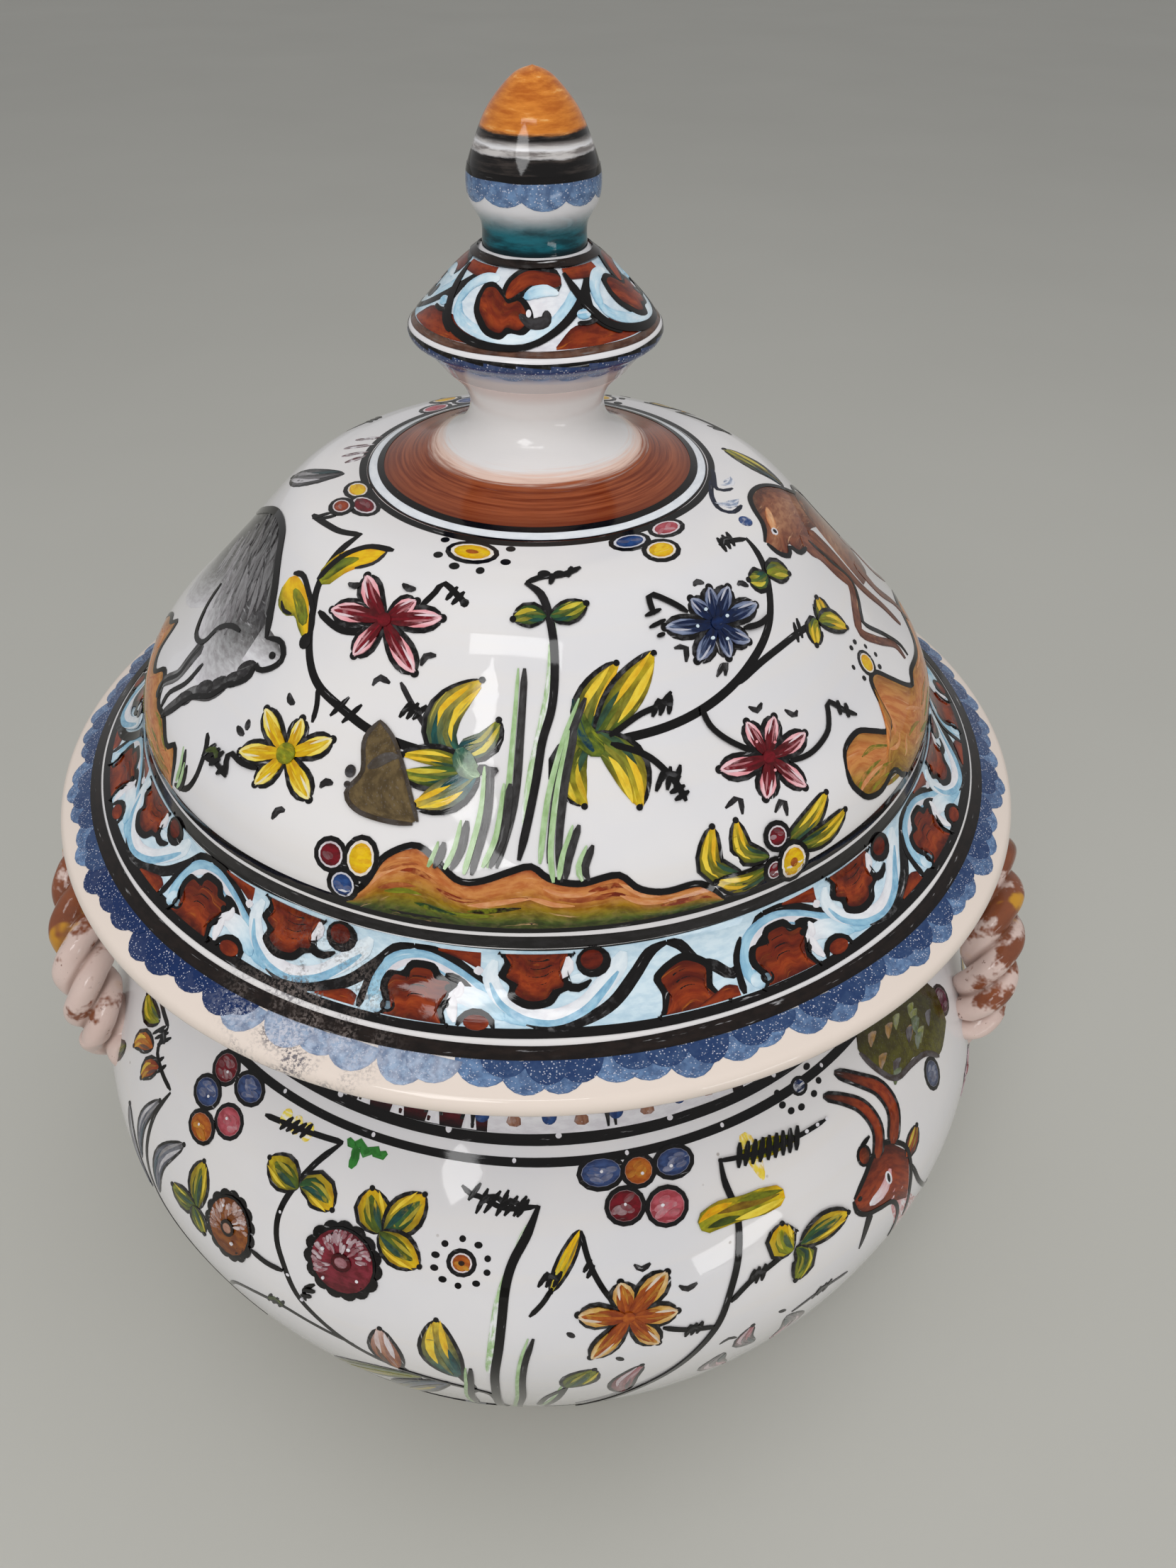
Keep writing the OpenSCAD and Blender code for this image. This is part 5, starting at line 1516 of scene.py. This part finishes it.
def centre_stem(tag, turned):
    on = bowl("centre_" + tag, turned)
    line(on, [(-10.4, 145.4), (-9.2, 143.8), (-8, 143.4), (-5, 141.4), (-1.4, 142)], width=1.2)
    knot(on, (-6.6, 142.6), 4.6)
    knot(on, (-4.4, 142), 4.0)
    bars(on, (-3, 141.6), (-8.8, 144.4), long=4.6)
    on.brush([(-2.6, 138), (-4, 130), (-5.2, 122), (-5.8, 112), (-6.4, 98)], [1.2, 2.2, 2.0], MINT, full=0.45)
    line(on, [(-1.2, 142.2), (-2.5, 136), (-4, 130), (-4.7, 124), (-5, 116), (-5.3, 108), (-5.8, 98), (-6, 85),
              (-6.2, 70), (-6.2, 55), (-5.6, 40)], width=2.1)
    grass(on, [(-1.8, 111), (-2.6, 104), (-3, 95), (-3.2, 80), (-3.8, 65), (-4, 52)], [(-8.3, 99), (-8.5, 90),
          (-9, 75), (-9, 60)], [(1.6, 90), (0.6, 76), (-0.8, 60)], width=1.7, shade=0.15)
    for side in (-1, 1):
        leaf(on, [(-4 + 2 * side, 44), (-4 + 9 * side, 34), (-4 + 16 * side, 31)], 7.0, MOSS, OLIVE)
        leaf(on, [(-4 + 3 * side, 52), (-4 + 14 * side, 48), (-4 + 22 * side, 52)], 6.0, OLIVE, GREY)
    leaf(on, [(3.4, 136.6), (1.4, 129), (0, 123)], 2.6, YELLOW, OLIVE, line=0.8)
    line(on, [(0.2, 124), (-0.8, 120.4), (-2.2, 117)], width=1.2)
    knot(on, (0, 126), 3.2)
    line(on, [(3.5, 136.4), (4, 131), (4.8, 126), (6, 121), (7.2, 117.6)], width=1.3)
    bars(on, (4, 128.6), (4.3, 127.2), long=3.4)
    flower(on, (8, 115), [(7.4, 123.8), (12.5, 124), (13.2, 113.6), (11, 105.3), (4, 104), (2.8, 117)], 7.2,
           blend(BRICK, OCHRE, 0.6), blend(OCHRE, LEMON, 0.45))
    line(on, [(11.5, 110), (14, 107.5), (17.2, 105.4)], width=1.2)
    knot(on, (14.8, 107), 2.8)
    ticks(on, [(9, 127.4), (9.8, 126), (10.8, 127)], [(13.6, 120), (14.4, 118.6), (15.6, 119.4)],
          [(1.6, 112.4), (2.4, 111)], [(6.6, 102.6), (7.4, 101)], width=1.4)
    leaf(on, [(1.6, 88), (2.8, 93), (4.4, 98.6)], 7.4, MOSS, OLIVE, rim=True)
    line(on, [(1.6, 88), (-0.6, 78), (-1.6, 64)], width=1.4)
    leaf(on, [(8, 75), (7.6, 88), (9.4, 97)], 5.2, blend(GREY, PINK, 0.5), blend(PINK, GREY, 0.3))
    ticks(on, [(18, 96), (19, 97.4), (20, 96)], [(25, 99.5), (26, 98)], width=1.3)
    on.dry()


def bar_spray(tag, turned):
    on = bowl("barbs_" + tag, turned)
    line(on, [(21.3, 145), (21, 140), (21.3, 135), (21.3, 130), (20.5, 122), (19, 114), (17.5, 106), (15, 97),
              (12.5, 88), (10, 80), (7, 70), (3, 58)], width=1.6)
    bar = [(16.8, 132.4), (19.6, 133.4), (22.8, 132.8), (27.6, 131.8)]
    on.brush(bar, [4.6, 6.0, 5.4, 6.0, 4.4], OLIVE, blend(OLIVE, YELLOW, 0.4), OLIVE, YELLOW, full=0.8, under=YELLOW)
    lick(on, bar, 6, (0.3, 0, 0.5, 0.3, YELLOW), (-0.3, 0.1, 0.6, 0.3, MOSS),
         (0.1, 0.3, 0.95, 0.3, blend(OLIVE, OCHRE, 0.4)),
         (-0.35, 0.5, 1, 0.3, LEMON), (0.3, 0.55, 0.98, 0.25, OLIVE), under=OLIVE)
    on.brush([(25.2, 148), (25.6, 142), (25.8, 136.6)], [3.4, 4.0, 1.4], blend(YELLOW, LEMON, 0.7), full=0.55)
    on.brush([(23.6, 143.6), (28, 142.8), (32, 141.4)], [2.0, 4.6, 1.4], OLIVE, MOSS, full=0.7, under=YELLOW)
    line(on, [(21, 144.6), (24, 143.5), (28, 142.2), (32, 141.5), (36.6, 141)], width=1.1)
    bars(on, *[(23.8 + k, 144 - 0.33 * k) for k in range(9)], long=5.6, width=1.3)
    dots(on, [(33.4, 141.4), (35.2, 141.2), (36.8, 141)], 0.9, WHITE)
    line(on, [(19, 111.5), (21.5, 115), (24, 116.6), (27, 118.5)], width=1.3)
    knot(on, (22.4, 115.8), 3.2)
    leaf(on, [(27, 117.6), (26, 121), (26.4, 125.4)], 7.4, OLIVE, YELLOW, rim=True)
    leaf(on, [(27.4, 117.8), (28.4, 114), (26.8, 109)], 5.4, MOSS, OLIVE, rim=True)
    leaf(on, [(28, 118.2), (31.4, 118.8), (35, 118)], 5.8, GREEN, YELLOW, rim=True)
    on.spot((35.5, 151), (4.0, 3.6), INK, grow=0.5)
    on.spot((35.5, 151), (3.4, 3.0), NAVY, full=0.6)
    dots(on, [(32, 152.4), (32, 149.4), (32.8, 147.2), (34.4, 146.6), (37, 147.4), (38.6, 149.2), (39, 151.8),
              (38, 153.6)], 1.6)
    leaf(on, [(23, 85), (21, 92), (21.8, 99)], 4.6, GREY, PINK, line=0.6)
    leaf(on, [(19, 88), (18.4, 78), (21, 69)], 6.4, GREY, BLUSH, line=0.6)
    leaf(on, [(26.5, 94), (28.4, 84), (27, 74)], 6.4, GREY, BLUSH, line=0.6)
    line(on, [(27, 95), (31, 97.4), (35, 96)], width=1.1, tint=SMOKE)
    knot(on, (31, 97.4), 3.4)
    on.dry()


pompom_spray("front", 0)
centre_stem("front", 0)
bar_spray("front", 0)
pompom_spray("back", 180, (BLUE, NAVY), (OCHRE, BRICK))
centre_stem("back", 180)
bar_spray("back", 180)

# %% [markdown]
# ## Goat, bush and side leaves
# On the right a goat's head looks out, with two swept horns, beside a dark bush under the handle. On the left are
# long leaves drawn in outline only, and barbs.

# %% Goat, bush and side leaves
def goat(tag, turned):
    on = bowl("goat_" + tag, turned)
    coat = (blend(BRICK, SEPIA, 0.4), BRICK, blend(BRICK, RUST, 0.5), blend(RUST, SEPIA, 0.4))
    on.brush([(42.6, 112), (44, 104), (47, 90), (52, 78)], [5, 9, 14, 16], blend(BRICK, BLUSH, 0.65),
             blend(OCHRE, WHITE, 0.6), full=0.5)
    on.wash([(36.3, 117.4), (37.6, 113.6), (40, 111), (42.4, 108.6), (45, 104.5)],
            [(36.4, 119.4), (38.8, 122.7), (41.2, 125.6), (43.6, 125.2), (46.4, 117.8)], *coat, full=0.9, count=16,
            rows=7,
            under=SEPIA)
    on.brush([(42.8, 118.6), (41, 115), (38.4, 114.8)], [2.2, 4.0, 2.0], blend(BRICK, BLUSH, 0.7), WHITE, full=0.85)
    leaf(on, [(45.8, 117), (47.4, 118), (49.4, 120.8)], 4.6, BRICK, RUST, line=0.8)
    line(on, [(36.4, 119.4), (38.8, 122.7), (41.2, 125.8), (43.6, 125.4), (46.2, 120), (46.4, 114), (45.6, 106),
              (45, 97)],
         [(36.2, 119), (36.4, 115.6), (37.8, 112.8), (40, 111), (42.2, 109), (43.2, 103), (43, 92)], width=1.3)
    on.spot((42.2, 116.8), (2.2, 4.2), WHITE, lean=10)
    on.spot((42.2, 116.8), (1.1, 2.8), INK)
    on.brush([(38.4, 112.6), (37.4, 109), (36.2, 103.6)], [2.6, 1.8, 0.6], INK, SMOKE, full=0.95)
    on.spot((37.2, 118.4), (1.4, 1.2), INK)
    for path, wide in (([(41.4, 124), (43, 130), (42.5, 137), (40.4, 142), (38, 145.6)], 3.0),
                       ([(44.4, 123.6), (46.5, 130), (46.3, 137), (44.2, 142.5), (41.4, 148.2)], 3.8)):
        on.brush(path, [wide, wide * 0.9, wide * 0.4], INK, grow=0.7)
        on.brush(path, [wide, wide * 0.8, wide * 0.3], blend(BRICK, SEPIA, 0.3), BRICK, blend(SEPIA, INK, 0.5),
                 full=0.9)
    line(on, [(41.2, 125), (39.6, 127), (39.4, 129.4), (41.4, 130.4)], width=1.2)
    on.spot((39.6, 127.4), (3.8, 4.6), INK, grow=0.5)
    on.spot((39.6, 127.4), (3.4, 4.2), BRICK, SEPIA, full=0.9)
    line(on, [(46.6, 113), (48, 104), (52, 92), (58, 82)], width=1.3)
    on.dry()
    on = bowl("bush_" + tag, turned, earth_wash)
    on.wash([(46.8, 146), (48, 139), (50, 134.6), (54, 134.4), (57, 130), (59.4, 126), (64, 128)],
            [(46.9, 148), (50, 154), (54, 156), (58, 156), (62, 152), (65, 144), (66, 136)], tone(96, 92, 20),
            tone(70, 66, 18), tone(52, 48, 20), full=1.0, count=26, rows=9)
    for k in range(22):
        t, u = 48 + 15 * dice.random(), 133 + 19 * dice.random()
        on.brush([(t, u), (t + 1, u + 1.5), (t + 2.4, u + 1.4)], [0.9, 2.4, 0.8],
                 (OLIVE, MOSS, tone(168, 122, 30), SEPIA)[k % 4], full=0.8)
    on.brush([(46.8, 147), (47.6, 141), (49.4, 135.4), (53, 133.8), (56.4, 131.4), (58.8, 126)], 1.5, SEPIA, full=0.9)
    on.dry()


def side_leaves(tag, turned):
    on = bowl("side_leaves_" + tag, turned)
    for path, wide in (([(-55, 105), (-56, 116), (-54, 126.5)], 3.4),
                       ([(-50.5, 102), (-50.6, 114), (-47.2, 124.4)], 4.6),
                       ([(-53, 98), (-57, 104), (-60, 114)], 4.0)):
        leaf(on, path, wide, blend(GREY, BLUE, 0.3), GREY, line=0.7)
    line(on, [(-60, 140), (-59, 134), (-56, 132), (-53, 131.4)], [(-66, 141), (-63, 140.4), (-60, 140)],
         [(-52.8, 131), (-54, 120), (-52.6, 104), (-46, 88), (-36, 74)], width=1.3)
    bars(on, (-57.6, 133), (-56.4, 132.4), long=4)
    knot(on, (-60, 137), 4.2)
    for path, tint in (([(-57, 132), (-59, 128), (-59.4, 124)], BRICK), ([(-60, 133), (-63, 130), (-64, 126)], OCHRE),
                       ([(-62, 138), (-65, 136), (-68, 137)], OLIVE), ([(-66, 122), (-68, 116), (-72, 112)], MOSS)):
        leaf(on, path, 4.4, tint, blend(tint, YELLOW, 0.4))
    for base, tint in (((-78, 86), OCHRE), ((-94, 78), BLUE), ((68, 100), PINK), ((92, 84), YELLOW)):
        flower(on, base, [(base[0] + math.degrees(8 * math.cos(a) / 126), base[1] + 8 * math.sin(a))
                          for a in [math.tau * k / 6 + 0.4 for k in range(6)]], 6.0, tint, blend(tint, WHITE, 0.6))
    line(on, [(-62, 62), (-70, 70), (-77, 80)], [(-84, 58), (-90, 66), (-93, 72)], [(58, 72), (63, 84), (67, 94)],
         [(82, 56), (88, 66), (91, 77)], width=1.5)
    for path in ([(-66, 66), (-70, 62), (-76, 60)], [(-88, 64), (-94, 60), (-100, 61)], [(61, 79), (66, 76), (72, 78)],
                 [(86, 63), (92, 60), (98, 62)], [(-72, 100), (-76, 106), (-82, 108)],
                 [(72, 110), (76, 116), (80, 118)]):
        leaf(on, path, 5.4, MOSS, YELLOW)
    on.dry()


goat("front", 0)
side_leaves("front", 0)
goat("back", 176)
side_leaves("back", 176)

# %% [markdown]
# ## Floor and light
# A plain pale floor catches the shadow. The light is a studio's: an even grey all round, and two wide soft boxes,
# above and in front, which aren't seen in the glaze. Three smaller lamps are seen in it, one each on the lid, the
# bowl and the bud. Each of them hangs where the mirrored ray from the camera goes.

# %% Floor and light
bm = bmesh.new()
bmesh.ops.create_grid(bm, x_segments=2, y_segments=2, size=9.0)
floor_mesh = bpy.data.meshes.new("floor")
bm.to_mesh(floor_mesh)
bm.free()
floor_finish = Finish("pale floor", 0.6)
floor_finish.colour(floor_finish.mix(floor_finish.noise(floor_finish.node("TexCoord", out=3), 3, 3),
                                     tone(200, 199, 192), tone(191, 190, 183)))
floor_mesh.materials.append(floor_finish.material)
floor = bpy.data.objects.new("floor", floor_mesh)
bpy.context.scene.collection.objects.link(floor)

world = bpy.data.worlds.new("studio")
world.use_nodes = True
world.node_tree.nodes["Background"].inputs["Color"].default_value = (1.0, 1.0, 1.0, 1.0)
world.node_tree.nodes["Background"].inputs["Strength"].default_value = 0.40
bpy.context.scene.world = world
bpy.context.scene.view_settings.view_transform = "Standard"


def lamp(name, spot, facing, size, watts, roll=0.0, in_glaze=True):
    """A soft box at a spot. One that isn't in the glaze lights the pot without being mirrored by it."""
    light = bpy.data.lights.new(name, "AREA")
    light.shape = "RECTANGLE"
    light.size, light.size_y = size
    light.energy = watts
    shone = bpy.data.objects.new(name, light)
    bpy.context.scene.collection.objects.link(shone)
    shone.location = spot
    shone.rotation_euler = (Vector(facing) - Vector(spot)).to_track_quat("-Z", "Y").to_euler()
    shone.rotation_euler.rotate_axis("Z", math.radians(roll))
    shone.visible_glossy = in_glaze


def mirrored(wall, turn, up, far):
    """Where a lamp must hang for its reflection to be seen at this place on the wall."""
    spot = wall.place(turn, up, 0)
    out = (wall.place(turn, up, 10) - spot).normalized()
    seen = (spot - EYE).normalized()
    return spot + (seen - 2 * seen.dot(out) * out) * far, spot


above, foot = mirrored(lid_wall, -4.4, 96.6, 0.9)
lamp("window", above, foot, (0.46, 0.085), 0.6, 4)
low, foot = mirrored(bowl_wall, 21, 126, 0.9)
lamp("low_window", low, foot, (0.34, 0.1), 0.5, 12)
beside, foot = mirrored(bud_wall, -10, 19, 0.8)
lamp("bud_window", beside, foot, (0.26, 0.26), 1.3, 45)
lamp("overhead", (0.15, -0.25, 1.5), (0, 0, 0.15), (1.6, 1.2), 7.7, in_glaze=False)
lamp("front", (-0.3, -1.6, 0.3), (0, 0, 0.08), (1.6, 0.6), 3.3, in_glaze=False)
print("the lid's window lamp hangs at", [round(v, 2) for v in above])

# %% [markdown]
# ## Measuring up
# The faces of every mesh are counted before the strokes get their thickness, and the total and the five largest pieces
# are printed.

# %% Measuring up
bpy.context.view_layer.update()
faces = {piece.name: len(piece.data.polygons) for piece in bpy.context.scene.objects if piece.type == "MESH"}
print("faces before thickness:", sum(faces.values()), "most:", sorted(faces.items(), key=lambda pair: -pair[1])[:5])
